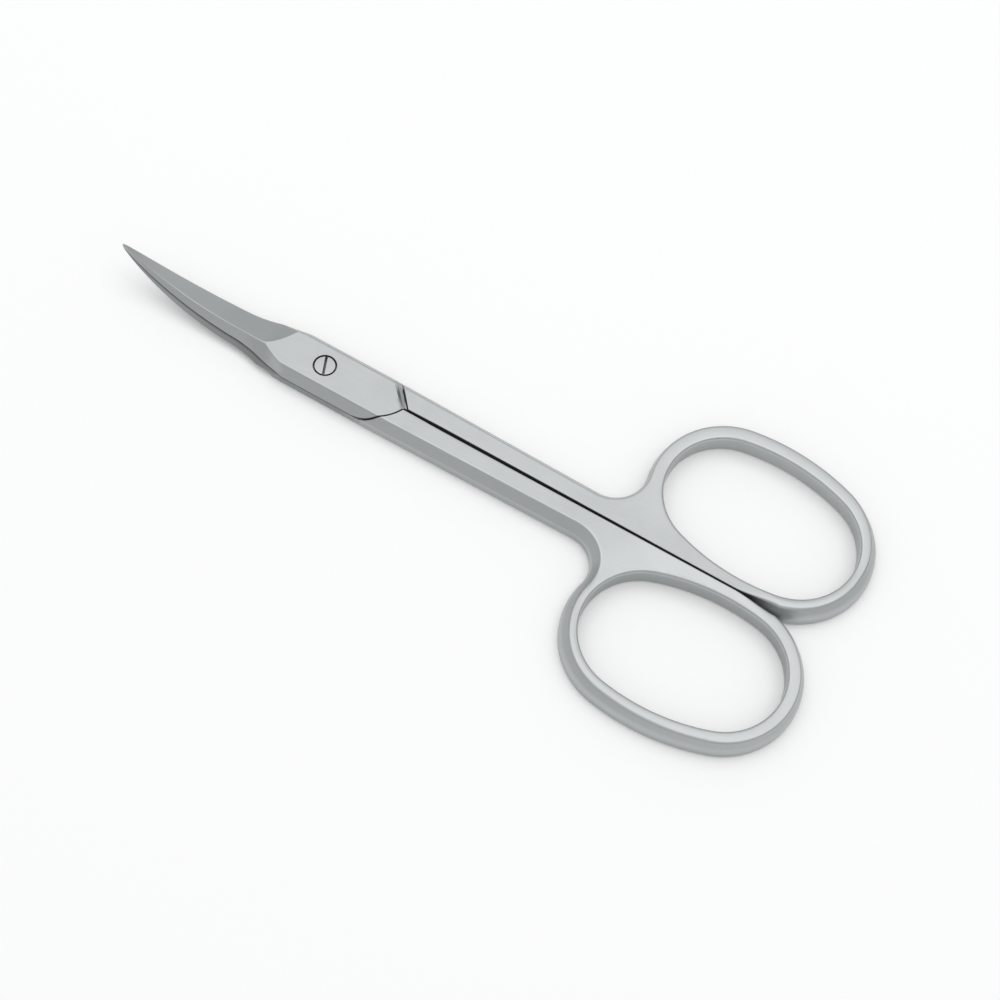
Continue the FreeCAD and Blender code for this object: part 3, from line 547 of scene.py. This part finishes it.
def blade_loop(x, upper, top_parts, lap_parts):
    """Rows of the section at each station x: straight runs between the seven corners, each
    corner rounded by a parabola, in the same order as the plate's loop."""
    corners, q, q_far = blade_corners(x, upper)
    front, back = corners[0], corners[-1]
    wide_in, wide_out = PLATE_ROUNDS[upper]
    sharp = np.full_like(x, EDGE_ROUND)
    rounds = [
        (sharp, sharp, N_EDGE),
        (lerp(wide_in, BORDER_ROUND, q_far), lerp(wide_out, BORDER_ROUND, q_far), N_ROUND),
        (lerp(FACE_ROUND, RIDGE_ROUND, q_far), lerp(FACE_ROUND, BORDER_ROUND, q_far), N_ROUND),
        (lerp(wide_out, BORDER_ROUND, q), lerp(wide_in, BACK_ROUND, q), N_ROUND),
        (sharp, sharp, N_EDGE),
    ]
    r1, r2, r3, r4, r5 = (bend(*corners[i:i + 3], *size) for i, size in enumerate(rounds))
    return np.concatenate([
        front[None], between(front, r1[0], [0.4]), r1, between(r1[-1], r2[0], FACET_PARTS),
        r2, between(r2[-1], r3[0], BACK_PARTS), r3, between(r3[-1], r4[0], top_parts),
        r4, between(r4[-1], r5[0], 1.0 - np.array(FACET_PARTS)[::-1]), r5,
        between(r5[-1], back, [0.6]), back[None], between(back, front, lap_parts),
    ])


print("blade section rows", len(blade_loop(np.array([BLADE_ROOT]), True, *plate_loop(True)[1:])))

# %% [markdown]
# Plate and blade are one ground surface, so they are one grid. Its columns are gathered
# round the screw and on the lines of the nick; equal steps would be simpler but would miss
# those lines. On the near side the plate's rear end has a slightly smaller radius: that is
# the dark seam beside the other half's shoulder.

# %% Plate and blade as one grid
PLATE_KNOTS, SCREW_ROOM = (8, 12, 16, 5, 5), 1.85
REAR_FAR, REAR_NEAR = 0.75, 0.12  # the last two knots, measured from the rear arc
KEEP_FAR, KEEP_NEAR = 0.3, 0.1  # the least that they keep from it on the nick's lines
N_BLADE, N_RUN_OUT, TIP_GATHER = 80, 26, 0.9
NICK_FROM = 5  # first row whose columns follow the nick's lines


def plate_x(y, own_face):
    """Columns of the plate for rows at distance y: knots at the front, both sides of the screw,
    the nick's front line and the edge of its floor, and the rear arc."""
    radius = lerp(NOSE_NEAR, NOSE_OWN, np.clip((y + SLIT) / (2 * SLIT), 0.0, 1.0))
    rear = rear_edge(np.maximum(np.abs(y), SLIT), radius)
    nick_front = nick_rear(y) - nick_wide(y)
    nick_floor = nick_rear(y) - nick_wide(y) * NICK_FLOOR
    front = np.minimum(np.where(own_face, nick_front, rear - REAR_FAR), rear - KEEP_FAR)
    low = np.where(own_face, np.minimum(nick_floor, rear - KEEP_NEAR), rear - REAR_NEAR)
    fixed = [np.full_like(y, x) for x in (PLATE_FRONT, -SCREW_ROOM, SCREW_ROOM)]
    return knotted(fixed + [front, low, rear], PLATE_KNOTS)


def half_grid(upper):
    """Loop rows by columns from the tip to the plate's rear end; the height above or below half
    thickness is the clearance, the section and the upward sweep."""
    loop, top_parts, lap_parts = plate_loop(upper)
    tip_to_root = lerp(BLADE_REACH, BLADE_ROOT, np.linspace(0, 1, N_BLADE + 1)[:-1] ** TIP_GATHER)
    run_out = np.linspace(BLADE_ROOT, PLATE_FRONT, N_RUN_OUT + 1)[:-1]
    x = np.concatenate([tip_to_root, run_out])
    section = blade_loop(x, upper, top_parts, lap_parts)
    blade = np.concatenate([np.tile(x, (N_LOOP, 1))[..., None], section], -1)
    rows = np.arange(N_LOOP)
    px = plate_x(loop[:, 0], upper & (rows >= NICK_FROM) & (rows <= SLIT_ROW))
    plate = np.stack([px, np.tile(loop[:, :1], px.shape[1]), np.tile(loop[:, 1:], px.shape[1])], -1)
    grid = np.concatenate([blade, plate], 1)
    side = 1.0 if upper else -1.0
    grid[..., 2] = MID + rise(grid[..., 0], grid[..., 1]) + side * (GAP + grid[..., 2])
    return grid, len(x)


print("plate and blade rows, columns", half_grid(True)[0].shape[:2])

# %% [markdown]
# The screw sits in a turned seat in the upper half and goes on through a bore into the
# lower one. A boolean would cut long thin faces round the hole. Here a block of cells is
# left out, and a collar of rings leads from its square border to the circle, down the
# seat, through the bore and out to the matching block on the lap face.

# %% Collar round the screw
BLOCK_A = PLATE_KNOTS[0]
BLOCK_B = BLOCK_A + PLATE_KNOTS[1]
BLOCK_TOP, BLOCK_LOW = 22, 35
OPPOSITE = SLIT_ROW + SLIT_LAP  # an outer row and the lap row opposite add up to this
SEAT_R, SEAT_FLOOR, BORE_R, TAPPED_R = 1.34, 1.95, 0.9, 0.87
SEATS = {
    True: [
        (SEAT_R + 0.06, THICK), (SEAT_R + 0.02, THICK - 0.01), (SEAT_R, THICK - 0.04),
        (SEAT_R, THICK - 0.1), (SEAT_R, SEAT_FLOOR + 0.04), (SEAT_R - 0.03, SEAT_FLOOR),
        (BORE_R + 0.04, SEAT_FLOOR), (BORE_R + 0.01, SEAT_FLOOR - 0.02), (BORE_R, SEAT_FLOOR - 0.07),
        (BORE_R, MID + GAP + 0.06), (BORE_R + 0.03, MID + GAP),
    ],
    False: [
        (TAPPED_R + 0.07, 0.0), (TAPPED_R + 0.03, 0.015), (TAPPED_R, 0.06),
        (TAPPED_R, MID - GAP - 0.06), (TAPPED_R + 0.04, MID - GAP),
    ],
}


def block_border(first_row, last_row, a, b):
    """Row and column numbers round a block of cells, once round."""
    step = 1 if last_row > first_row else -1
    down = np.arange(first_row, last_row, step)
    across = np.arange(a, b)
    rows = np.concatenate([np.full(b - a, first_row), down, np.full(b - a, last_row), down[::-1] + step])
    cols = np.concatenate([across, np.full(len(down), b), across[::-1] + 1, np.full(len(down), a)])
    return rows, cols


def collar(grid, start, upper):
    """Rings from the outer block's border to the seat, down it, and out to the lap block's border;
    every ring keeps the outer border's directions as seen from the axis."""
    a, b = start + BLOCK_A, start + BLOCK_B
    outer = grid[block_border(BLOCK_TOP, BLOCK_LOW, a, b)]
    lap = grid[block_border(OPPOSITE - BLOCK_TOP, OPPOSITE - BLOCK_LOW, a, b)]
    size = np.hypot(outer[:, 0], outer[:, 1])
    turned = outer[:, :2] / size[:, None]
    radius, height = np.array(SEATS[upper]).T
    rings = standing(radius[:, None, None] * turned, np.tile(height[:, None], len(size)))
    lead_in = between(outer, rings[0], [0.0, 0.4, 0.7, 0.9])
    lead_out = between(rings[-1], lap, [0.1, 0.3, 0.6, 1.0])
    return np.concatenate([lead_in, rings, lead_out])


print("collar rings and points", collar(*half_grid(True), True).shape[:2])

# %% [markdown]
# Two upright walls close each half at the joint: the plate's rear end, on the near side of
# the slit, and the shoulder that the other half's plate turns past. Filling the open edges
# would give flat, many-sided faces. Both walls are parts of upright cylinders, so their
# points come from the edges that they join.

# %% Rear wall and shoulder
def rear_wall(grid, slit_column, upper):
    """Upright rear end of the plate between its outer face and its lap face; the first column is
    the end of the slit's own wall."""
    rows = plate_rows(upper)
    level = slit_profile[rows, 1]
    share = (level - level[0]) / (level[-1] - level[0])
    outer = grid[SLIT_ROW:BACK_ROW + 1, -1]
    lap = grid[np.arange(SLIT_LAP, BACK_ROW - 1, -1), -1]
    wall = lerp(lap, outer, share[:, None, None])
    wall[:, 0] = slit_column[rows]
    return wall


def shoulder_wall(upper):
    """The shoulder: part of a cylinder about NOSE between the lap face and the shank's own face."""
    rows = np.arange(0, LAP_HIGH + 1) if upper else np.arange(LAP_LOW, TOP_ROW + 1)
    y = lerp(slit_y[rows][:, None], side_y[rows][:, None], UP_SHARES)
    z = lerp(slit_profile[rows, 1][:, None], side_profile[rows, 1][:, None], UP_SHARES)
    return np.stack([rear_edge(y, NOSE_OWN), y, z], -1)


print("shoulder rows, columns", shoulder_wall(True).shape[:2])

# %% [markdown]
# A piece is the sum of its sheets. They could stay separate objects, but a solid body needs
# a closed skin. Points that two sheets share are welded, the faces are turned outwards and
# a count of the edges without exactly two faces shows whether the skin is closed.

# %% Sheets into pieces
BOW_DEEP, BOW_SIDE = 0.06, 1.5
BOW_START, BOW_RISE, BOW_HOLD, BOW_FALL = 10.5, 5.0, 20.0, 37.0
WELD, SLIVER, SHARP_ANGLE = 2e-7, 1e-8, math.radians(33)


def cells(shape, loop_rows=False, loop_cols=False):
    """Corner numbers of every cell of a grid, which may close on itself either way."""
    n_row, n_col = shape[:2]
    row_starts, col_starts = np.arange(n_row - (not loop_rows)), np.arange(n_col - (not loop_cols))
    r, c = np.meshgrid(row_starts, col_starts, indexing="ij")
    r_next, c_next = (r + 1) % n_row, (c + 1) % n_col
    return np.stack([r * n_col + c, r * n_col + c_next, r_next * n_col + c_next, r_next * n_col + c], -1)


def sheet(points, wear_and_painted_light, closed=False):
    """Points with their cells and their numbers for rubbing and painted light; a closed sheet joins its
    last column to its first.
    """
    return points, cells(points.shape, loop_cols=closed), wear_and_painted_light


def bow(x, y):
    """How far the slit's side is ground back at (x, y): most behind the shoulder, easing to
    nothing towards the rings and away from the middle."""
    push = BOW_DEEP * ease((x - BOW_START) / BOW_RISE) * (1.0 - ease((x - BOW_HOLD) / BOW_FALL))
    return push * np.clip(1.0 - y / BOW_SIDE, 0.0, 1.0) * (y > 0.0)


def make_piece(name, sheets, flip):
    """One mesh object in metres from (points, cells, rubbing and painted light) sheets, mirrored in Y when
    flip is set.
    """
    points, quads, wears_and_painted_light = zip(*sheets)
    count = np.cumsum([0] + [p.shape[0] * p.shape[1] for p in points])
    spots = np.concatenate([p.reshape(-1, 3) for p in points])
    wear_and_painted_light_values = np.concatenate([np.broadcast_to(w, p.shape[:2]).ravel() for p, w in zip(points, wears_and_painted_light)])
    faces = np.concatenate([q.reshape(-1, 4) + n for q, n in zip(quads, count)])
    spots[:, 1] += bow(spots[:, 0], spots[:, 1])
    spots = spots * [1.0, -1.0 if flip else 1.0, 1.0] / MM_PER_M
    mesh = bpy.data.meshes.new(name)
    mesh.from_pydata(spots.tolist(), [], faces.tolist())
    # one number per point: rubbed edges and painted sheen above zero, painted shade below zero
    mesh.attributes.new("painted_light_and_wear", "FLOAT", "POINT").data.foreach_set("value", wear_and_painted_light_values.astype(np.float32))
    shell = bmesh.new()
    shell.from_mesh(mesh)
    bmesh.ops.remove_doubles(shell, verts=shell.verts, dist=WELD)
    bmesh.ops.dissolve_degenerate(shell, edges=shell.edges, dist=SLIVER)
    bmesh.ops.recalc_face_normals(shell, faces=shell.faces)
    volume = shell.calc_volume(signed=True) * MM_PER_M ** 3
    shell.to_mesh(mesh)
    shell.free()
    loop_edges = np.empty(len(mesh.loops), np.int32)
    mesh.loops.foreach_get("edge_index", loop_edges)
    open_edges = np.count_nonzero(np.bincount(loop_edges, minlength=len(mesh.edges)) != 2)
    mesh.polygons.foreach_set("use_smooth", np.ones(len(mesh.polygons), bool))
    mesh.set_sharp_from_angle(angle=SHARP_ANGLE)
    piece = bpy.data.objects.new(name, mesh)
    bpy.context.scene.collection.objects.link(piece)
    print(name, "faces", len(mesh.polygons), "open edges", open_edges, "volume mm3", round(volume, 2))
    return piece


print("cells of 2 by 3 points", cells((2, 3)).tolist())

# %% [markdown]
# Handling rubs the edges of satin steel bright. The shade that falls in the slit, the seams,
# the screw's seat and slot, the nick and the lap is painted in as dark colour, and a painted
# sheen lightens the lower half's web and, along with the rubbing, the ring tops. All of it could
# be painted by hand. The grids already know which rows are edges or joints, so each row gets a
# number: above zero is rubbed bright or painted sheen, below zero is painted shade.

# %% Wear, painted shade and painted sheen
EDGE = [0.3, 0.8, 1.0, 0.8, 0.3]
FLAT = np.zeros(len(ROW_SHARES))
WALL_WEAR = np.concatenate([EDGE, FLAT, [0.1, 0.3, 0.4, 0.3, 0.1], FLAT, EDGE])
# painted shade down the slit's walls, above their rubbed lower edges
SLIT_WEAR_AND_SHADE = np.concatenate([EDGE, np.full(19, -0.25), [-0.4, -0.4, -0.2, 0.1, 0.0]])
HOLE_WEAR = np.concatenate([[0.2, 0.6, 0.9, 1.0, 0.9, 0.6, 0.2], np.zeros(4), EDGE])
# painted shade in the screw's seat and bore
SEAT_SHADE = {
    True: np.array([0.0] * 5 + [-0.3, -0.5] + [-0.6] * 9 + [0.0] * 3),
    False: np.array([0.0] * 6 + [-0.5, -0.5] + [0.0] * 5),
}
LOOP_WEAR = np.zeros(N_LOOP)
LOOP_WEAR[[0, 3, 9, 10, 11]] = [0.7, 0.7, 0.4, 0.7, 0.4]  # lap front, cutting edge, border
LOOP_WEAR[[18, BACK_ROW - 11, BACK_ROW - 3, BACK_ROW]] = [0.2, 0.5, 0.5, 0.7]  # ridge, back
# painted shade along the lower blade's strip under the upper blade's edge
STRIP_SHADE = np.array([-1.0, -0.45, -0.4, -0.4, -0.4, -0.4, -0.35, -0.3, -0.25])
STRIP_FADE = 20.0  # columns over which the strip's painted shade fades out at the shoulder
# painted shade on the nick's floor and in its V cut, with a painted highlight just ahead of the V
NICK_SHADE_AND_HIGHLIGHT = [-0.35, -0.35, -0.3, -0.1, 0.2, 0.3, 0.0, -0.8, -1.0, -0.6]
# painted shade where the nick crosses the plate
NICK_PLATE_SHADE, NICK_ROWS, NICK_COLUMNS = -0.35, 3, 6
# painted shade on the seam walls; rubbing plus painted sheen on the ring tops; painted shade on the lower
# half's hole wall
TIP_WEAR, SEAM_SHADE, RING_WEAR_AND_SHEEN, LOWER_HOLE_SHADE = 0.5, -0.5, 0.3, 0.12
# painted sheen lightening the lower half's web towards its ring
WEB_SHEEN, WEB_START, WEB_RUN = 0.6, 35.0, 10.0


def plate_wear_and_shade(n_columns, upper):
    """Wear and painted shade of plate and blade: rubbed edges, then painted shade in the upper half's
    nick or along the lower half's strip under the lap, which fades towards the shoulder."""
    wear_and_painted_light = np.tile(LOOP_WEAR[:, None], n_columns)
    if upper:
        wear_and_painted_light[N_SIDEROWS - NICK_ROWS:SLIT_ROW + 1, -NICK_COLUMNS:] = NICK_PLATE_SHADE
    else:
        fade = np.clip(np.arange(n_columns)[::-1] / STRIP_FADE, 0.0, 1.0)
        wear_and_painted_light[:len(STRIP_SHADE)] = STRIP_SHADE[:, None] * fade
        wear_and_painted_light[0] = STRIP_SHADE[0]
    return wear_and_painted_light


def handle_wear_and_painted_light(band_x, upper):
    """Wear and painted light of the shank's top (painted shade and highlight in the nick), the outer wall
    (painted shade in the slit), the ring's top (painted sheen on the lower half's web) and the hole's wall
    (painted shade on the lower half).
    """
    top = np.zeros(columns)
    if upper:
        top[:len(NICK_SHADE_AND_HIGHLIGHT)] = NICK_SHADE_AND_HIGHLIGHT
    wall = lerp(SLIT_WEAR_AND_SHADE[:, None], WALL_WEAR[:, None], np.where(on_slit, ringness, 1.0))
    # painted sheen on the lower half's web, painted shade on the lower half's hole wall
    web = 0.0 if upper else WEB_SHEEN * ease((band_x - WEB_START) / WEB_RUN)
    hole = HOLE_WEAR[:, None] - (0.0 if upper else LOWER_HOLE_SHADE)
    return top, wall, lerp(web, RING_WEAR_AND_SHEEN, loop_ring), hole


print("wear from", STRIP_SHADE.min(), "in the lap to", WALL_WEAR.max(), "on the edges")

# %% [markdown]
# Both halves come from the same sheets. The upper half turns its plate up and carries the
# nick; the lower half is mirrored in Y and turns its plate down, but keeps the slope of
# shank and ring on top, as on the real tool. Turning a copy over would put that slope
# underneath, so the same functions build each half by its flag.

# %% The two halves
def half_sheets(upper):
    """Every sheet of one half: plate and blade, tip, collar, rear wall, shoulder, shank, ring."""
    cut = nicked if upper else (lambda points: points)
    grid, start = half_grid(upper)
    grid = cut(grid)
    quads = cells(grid.shape, loop_rows=True)
    keep = np.ones(quads.shape[:2], bool)
    keep[BLOCK_TOP:BLOCK_LOW, start + BLOCK_A:start + BLOCK_B] = False
    keep[OPPOSITE - BLOCK_LOW:OPPOSITE - BLOCK_TOP, start + BLOCK_A:start + BLOCK_B] = False
    tip = np.stack([grid[:, 0], np.tile(grid[:, 0].mean(0), (N_LOOP, 1))])
    slit = cut(slit_wall)
    band_top, band_under = ring_band(walls[upper])
    # rubbing, painted shade and painted sheen for the shank's top, the walls, the band and the hole
    top_wear_and_painted_light, wall_wear_and_shade, band_wear_and_sheen, hole_wear_and_shade = handle_wear_and_painted_light(band_top[..., 0], upper)
    return [
        (grid, quads[keep], plate_wear_and_shade(grid.shape[1], upper)),
        sheet(tip, TIP_WEAR, closed=True),
        sheet(collar(grid, start, upper), SEAT_SHADE[upper][:, None], closed=True),
        sheet(rear_wall(grid, slit[:, 0], upper), SEAM_SHADE),
        sheet(shoulder_wall(upper), SEAM_SHADE),
        sheet(slit, SLIT_WEAR_AND_SHADE[:, None]),
        sheet(cut(side_wall), WALL_WEAR[:, None]),
        sheet(cut(shank_top), top_wear_and_painted_light),
        sheet(shank_under, 0.0),
        sheet(walls[upper], wall_wear_and_shade),
        sheet(band_top, band_wear_and_sheen, closed=True),
        sheet(hole_wall, hole_wear_and_shade, closed=True),
        sheet(band_under, 0.0, closed=True),
    ]


upper_steel = make_piece("upper_half_steel", half_sheets(True), False)
lower_steel = make_piece("lower_half_steel", half_sheets(False), True)

# %% [markdown]
# The pivot screw is turned: a cheese head with a narrow slot, a stem through both plates
# and a flush end. A cylinder with a boolean slot would do from afar. Here the head is a
# sheet laid out across the slot, so that the slot's walls and floor are simply rows of
# that sheet; everything below the rim is a profile spun round.

# %% Pivot screw
RIM_R, HEAD_R, HEAD_UNDER, STEM_R = 1.12, 1.175, 2.0, 0.85
HEAD_TOP, HEAD_DOME = THICK - 0.005, 0.03
SLOT_HALF, SLOT_DEEP, SLOT_TURN, LIP_START = 0.11, 0.45, math.radians(112.5), 0.18
N_OUTSIDE, N_FLOOR, N_ALONG = 15, 3, 25
outside = RIM_R * np.sin(np.linspace(-math.pi / 2, -math.asin(LIP_START / RIM_R), N_OUTSIDE))
lip = np.array([[-0.155, 0.0], [-0.138, 0.012], [-SLOT_HALF, 0.04], [-SLOT_HALF, SLOT_DEEP]])
slot_floor = np.linspace(-SLOT_HALF, SLOT_HALF, N_FLOOR + 2)[1:-1]
across = np.concatenate([outside, lip[:, 0], slot_floor, -lip[::-1, 0], -outside[::-1]])
level = np.zeros(N_OUTSIDE)
depth = np.concatenate([level, lip[:, 1], np.full(N_FLOOR, SLOT_DEEP), lip[::-1, 1], level])
chord = np.sqrt(np.maximum(RIM_R ** 2 - across ** 2, 0.0))
u = np.tile(across[:, None], N_ALONG)
v = chord[:, None] * np.linspace(-1.0, 1.0, N_ALONG)
dome = HEAD_DOME * (u ** 2 + v ** 2) / RIM_R ** 2
cosine, sine = math.cos(SLOT_TURN), math.sin(SLOT_TURN)
head_plan = np.stack([v * cosine - u * sine, v * sine + u * cosine], -1)
head = standing(head_plan, HEAD_TOP - depth[:, None] - dome)
border = np.concatenate([head[:, -1], head[-2:0:-1, 0]])
facing = border[:, :2] / np.linalg.norm(border[:, :2], axis=1, keepdims=True)
spin = np.array([
    (HEAD_R - 0.045, THICK - 0.036), (HEAD_R - 0.02, THICK - 0.05), (HEAD_R - 0.005, THICK - 0.08),
    (HEAD_R, THICK - 0.12), (HEAD_R, HEAD_UNDER + 0.06), (HEAD_R - 0.025, HEAD_UNDER),
    (STEM_R + 0.03, HEAD_UNDER), (STEM_R, HEAD_UNDER - 0.03), (STEM_R, 0.12), (STEM_R - 0.02, 0.04),
    (STEM_R - 0.06, 0.0), (STEM_R - 0.45, 0.0), (0.0, 0.0),
])
turned = standing(spin[:, 0][:, None, None] * facing, np.tile(spin[:, 1:], len(facing)))
stem = np.concatenate([border[None], turned])
# painted shade on the slot's walls and floor
head_slot_shade = np.where(depth > 0.03, -0.8, 0.0)[:, None]
# rubbed rims at both ends, with painted shade down the head's side and the stem inside the seat
stem_wear_and_shade = np.array([0.2, 0.5, 0.5, -0.1, -0.5, -0.6, -0.6, -0.6, -0.6, -0.5, 0.3, 0.6, 0, 0])[:, None]
screw_sheets = [sheet(head, head_slot_shade), sheet(stem, stem_wear_and_shade, closed=True)]
screw_steel = make_piece("pivot_screw_steel", screw_sheets, False)

# %% [markdown]
# A material is a small tree of nodes: noises, mixes and sums that end in the shader's
# sockets. It could be wired by hand in the node editor. Here one function adds any node,
# fed with fixed values or with other nodes' outputs.

# %% Helpers for materials
def fill(tree, node, values):
    """Give a node's sockets fixed values, or link them where a value is another node's output."""
    for name, value in values.items():
        if isinstance(value, bpy.types.NodeSocket):
            tree.links.new(value, node.inputs[name])
        else:
            node.inputs[name].default_value = value


def added(tree, kind, values, output, **fields):
    """One output of a new node, with the node's fields set and its sockets filled."""
    node = tree.nodes.new("ShaderNode" + kind)
    for field, value in fields.items():
        setattr(node, field, value)
    fill(tree, node, values)
    return node.outputs[output]


def mixed(tree, first, second, share):
    """Colour between two others."""
    return added(tree, "Mix", {"A": first, "B": second, "Factor": share}, "Result", data_type="RGBA")


def times(tree, first, second):
    """Product of two numbers, held between 0 and 1."""
    return added(tree, "Math", {0: first, 1: second}, "Value", operation="MULTIPLY", use_clamp=True)


def tint(colour, factor):
    """A colour made lighter or darker, with full cover."""
    return (*[min(1.0, factor * c) for c in colour], 1.0)


print("a darker grey", tint((0.5, 0.5, 0.5), 0.9))

# %% [markdown]
# Satin stainless steel is blasted and brushed: a mirror broken up into fine grain, drawn
# out along the tool. Handled edges are rubbed brighter and smoother, the shade in joints and
# recesses is painted in as dark colour, a painted sheen lightens some ring and web tops, and
# the polish is never quite even. Pictures of steel would show their pixels up close; noise
# on the piece's own coordinates stays fine at any distance.

# %% Steel finishes
GRAIN_SCALE, SLOW_SCALE, UNEVEN = 6000.0, 260.0, 0.06
RUB_AND_SHEEN_SHARE, RUB_AND_SHEEN_TINT, RUB_SMOOTH = 0.55, 1.28, -0.12
# dark colour painted in where shade falls: slit, seams, seat, slot, nick and lap
PAINTED_SHADE = (0.08, 0.083, 0.087, 1.0)


def steel(name, colour, rough, stretch, grain_depth):
    """Metal whose colour follows a stretched grain, the rubbed edges, the painted sheen and the
    painted shade, its roughness a slow unevenness and the rubbing, and its bump the grain."""
    mat = bpy.data.materials.new(name)
    mat.use_nodes = True
    tree = mat.node_tree
    place = added(tree, "TexCoord", {}, "Object")
    drawn = added(tree, "Mapping", {"Vector": place, "Scale": stretch}, "Vector")
    grain = added(tree, "TexNoise", {"Vector": drawn, "Scale": GRAIN_SCALE, "Detail": 3.0}, "Fac")
    slow = added(tree, "TexNoise", {"Vector": place, "Scale": SLOW_SCALE, "Detail": 4.0}, "Fac")
    wear_and_painted_light = added(tree, "Attribute", {}, "Fac", attribute_name="painted_light_and_wear")
    tone = mixed(tree, tint(colour, 0.95), tint(colour, 1.05), grain)
    # above zero: rubbed edges and painted sheen lighten the colour
    bright = mixed(tree, tone, tint(colour, RUB_AND_SHEEN_TINT), times(tree, wear_and_painted_light, RUB_AND_SHEEN_SHARE))
    limits = {"Value": slow, "To Min": rough - UNEVEN, "To Max": rough + UNEVEN}
    spread = added(tree, "MapRange", limits, "Result")
    smoothed = {0: wear_and_painted_light, 1: RUB_SMOOTH, 2: spread}
    polish = added(tree, "Math", smoothed, "Value", operation="MULTIPLY_ADD")
    bumps = {"Strength": 0.25, "Distance": grain_depth, "Height": grain}
    fill(tree, tree.nodes["Principled BSDF"], {
        "Metallic": 1.0,
        # below zero: painted shade darkens the colour towards near black
        "Base Color": mixed(tree, bright, PAINTED_SHADE, times(tree, wear_and_painted_light, -1.0)),
        "Roughness": polish,
        "Normal": added(tree, "Bump", bumps, "Normal"),
    })
    print("finish", name, "roughness about", rough)
    return mat


satin = steel("satin_steel_finish", (0.44, 0.455, 0.457), 0.40, (0.15, 1.0, 1.0), 0.00001)
screw_finish = steel("screw_steel_finish", (0.42, 0.43, 0.43), 0.33, (0.6, 0.6, 0.6), 0.000006)

# %% [markdown]
# Each skin has to move with the solid that it stands for. Parenting would do inside one
# file, but the bodies are posed from outside, so each piece is parented to an empty named
# after the body it rides with and gets its finish, and the solid it replaces is hidden.
# The material slot named in the table is not used.

# %% Skins onto the bodies
for piece, finish, body, node, slot in (
    (upper_steel, satin, "upper", "upper_half", "satin_steel"),
    (lower_steel, satin, "lower", "lower_half", "satin_steel"),
    (screw_steel, screw_finish, "lower", "pivot_screw", "screw_steel"),
):
    piece.data.materials.append(finish)
    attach(piece, body)
    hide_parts(node)
    print(piece.name, "rides with", body, "in place of", node)

# %% [markdown]
# The picture was taken from above and in front, a little turned, with a long lens. Aimed
# by eye, a camera would only be about right. This one stands at the spot that brings the
# tips, the screw and both rings where they are in the picture, and three angles turn it.

# %% Camera
AZIMUTH, ELEVATION, ROLL = (math.radians(v) for v in (22.829, 62.446, 8.277))
AIM, DISTANCE = Vector((24.704, -3.558, 1.3)), 235.684
FOCAL, PICTURE_WIDE, SENSOR = 2166.12, 1000.0, 36.0  # first two in pixels
flat_away = math.cos(ELEVATION)
back = Vector((math.sin(AZIMUTH) * flat_away, -math.cos(AZIMUTH) * flat_away, math.sin(ELEVATION)))
right = Vector((math.cos(AZIMUTH), math.sin(AZIMUTH), 0.0))
over = back.cross(right)
side_axis = math.cos(ROLL) * right + math.sin(ROLL) * over
top_axis = math.cos(ROLL) * over - math.sin(ROLL) * right
stand = (AIM + DISTANCE * back) / MM_PER_M
lens = bpy.data.cameras.new("picture_camera")
lens.sensor_width = SENSOR
lens.lens = SENSOR * FOCAL / PICTURE_WIDE
lens.clip_start = 0.01
camera = bpy.data.objects.new("picture_camera", lens)
camera.matrix_world = Matrix([[*row] for row in zip(side_axis, top_axis, back, stand)] + [[0, 0, 0, 1]])
scene = bpy.context.scene
scene.collection.objects.link(camera)
scene.camera = camera
print("lens mm", round(lens.lens, 2), "camera at mm", [round(MM_PER_M * v, 1) for v in stand])

# %% [markdown]
# The scissors lie on plain white paper, which fills the shadows from below. A curved
# backdrop would hide a horizon, but from above none is seen, so one flat sheet is enough.
# A trace of its own light brings it close to pure white.

# %% Floor
FLOOR_HALF, FLOOR_Z = 2.0, -0.00004
plane = bpy.data.meshes.new("floor_sheet")
signs = ((-1, -1), (1, -1), (1, 1), (-1, 1))
plane.from_pydata([(FLOOR_HALF * a, FLOOR_HALF * b, FLOOR_Z) for a, b in signs], [], [(0, 1, 2, 3)])
floor = bpy.data.objects.new("floor_sheet", plane)
scene.collection.objects.link(floor)
paper = bpy.data.materials.new("floor_paper")
paper.use_nodes = True
fill(paper.node_tree, paper.node_tree.nodes["Principled BSDF"], {
    "Base Color": (0.96, 0.96, 0.96, 1.0), "Roughness": 0.9, "Specular IOR Level": 0.1,
    "Emission Color": (1.0, 1.0, 1.0, 1.0), "Emission Strength": 0.06,
})
plane.materials.append(paper)
print("floor", 2 * FLOOR_HALF, "m wide,", -MM_PER_M * FLOOR_Z, "mm below the scissors")

# %% [markdown]
# Steel shows the room it is in, so a picture of a studio would show its lamps. Here one
# wide soft light overhead makes the flat tops pale, and a plain room, a little dimmer at
# the sides than above, leaves slopes and walls mid grey.

# %% Light and room
scene.view_settings.view_transform = "Standard"
lamp = bpy.data.lights.new("overhead_box", "AREA")
lamp.shape = "RECTANGLE"
lamp.size, lamp.size_y = 0.8, 0.46
lamp.energy = 0.8
key = bpy.data.objects.new("overhead_box", lamp)
key.location = (0.0, 0.14, 0.5)
key.rotation_euler = (Vector((0.02, 0.0, 0.0)) - key.location).to_track_quat("-Z", "Y").to_euler()
scene.collection.objects.link(key)
room = bpy.data.worlds.new("room")
room.use_nodes = True
tree = room.node_tree
height = added(tree, "SeparateXYZ", {"Vector": added(tree, "TexCoord", {}, "Generated")}, "Z")
shade = added(tree, "ValToRGB", {"Fac": height}, "Color")
fill(tree, tree.nodes["Background"], {"Color": shade})
ramp = shade.node.color_ramp.elements
ramp[0].color = (0.62, 0.63, 0.63, 1.0)
ramp[1].color = (0.95, 0.95, 0.95, 1.0)
ramp.new(0.5).color = (0.63, 0.64, 0.64, 1.0)
scene.world = room
print("soft light of", round(lamp.energy, 2), "W at", [round(v, 2) for v in key.location], "m")
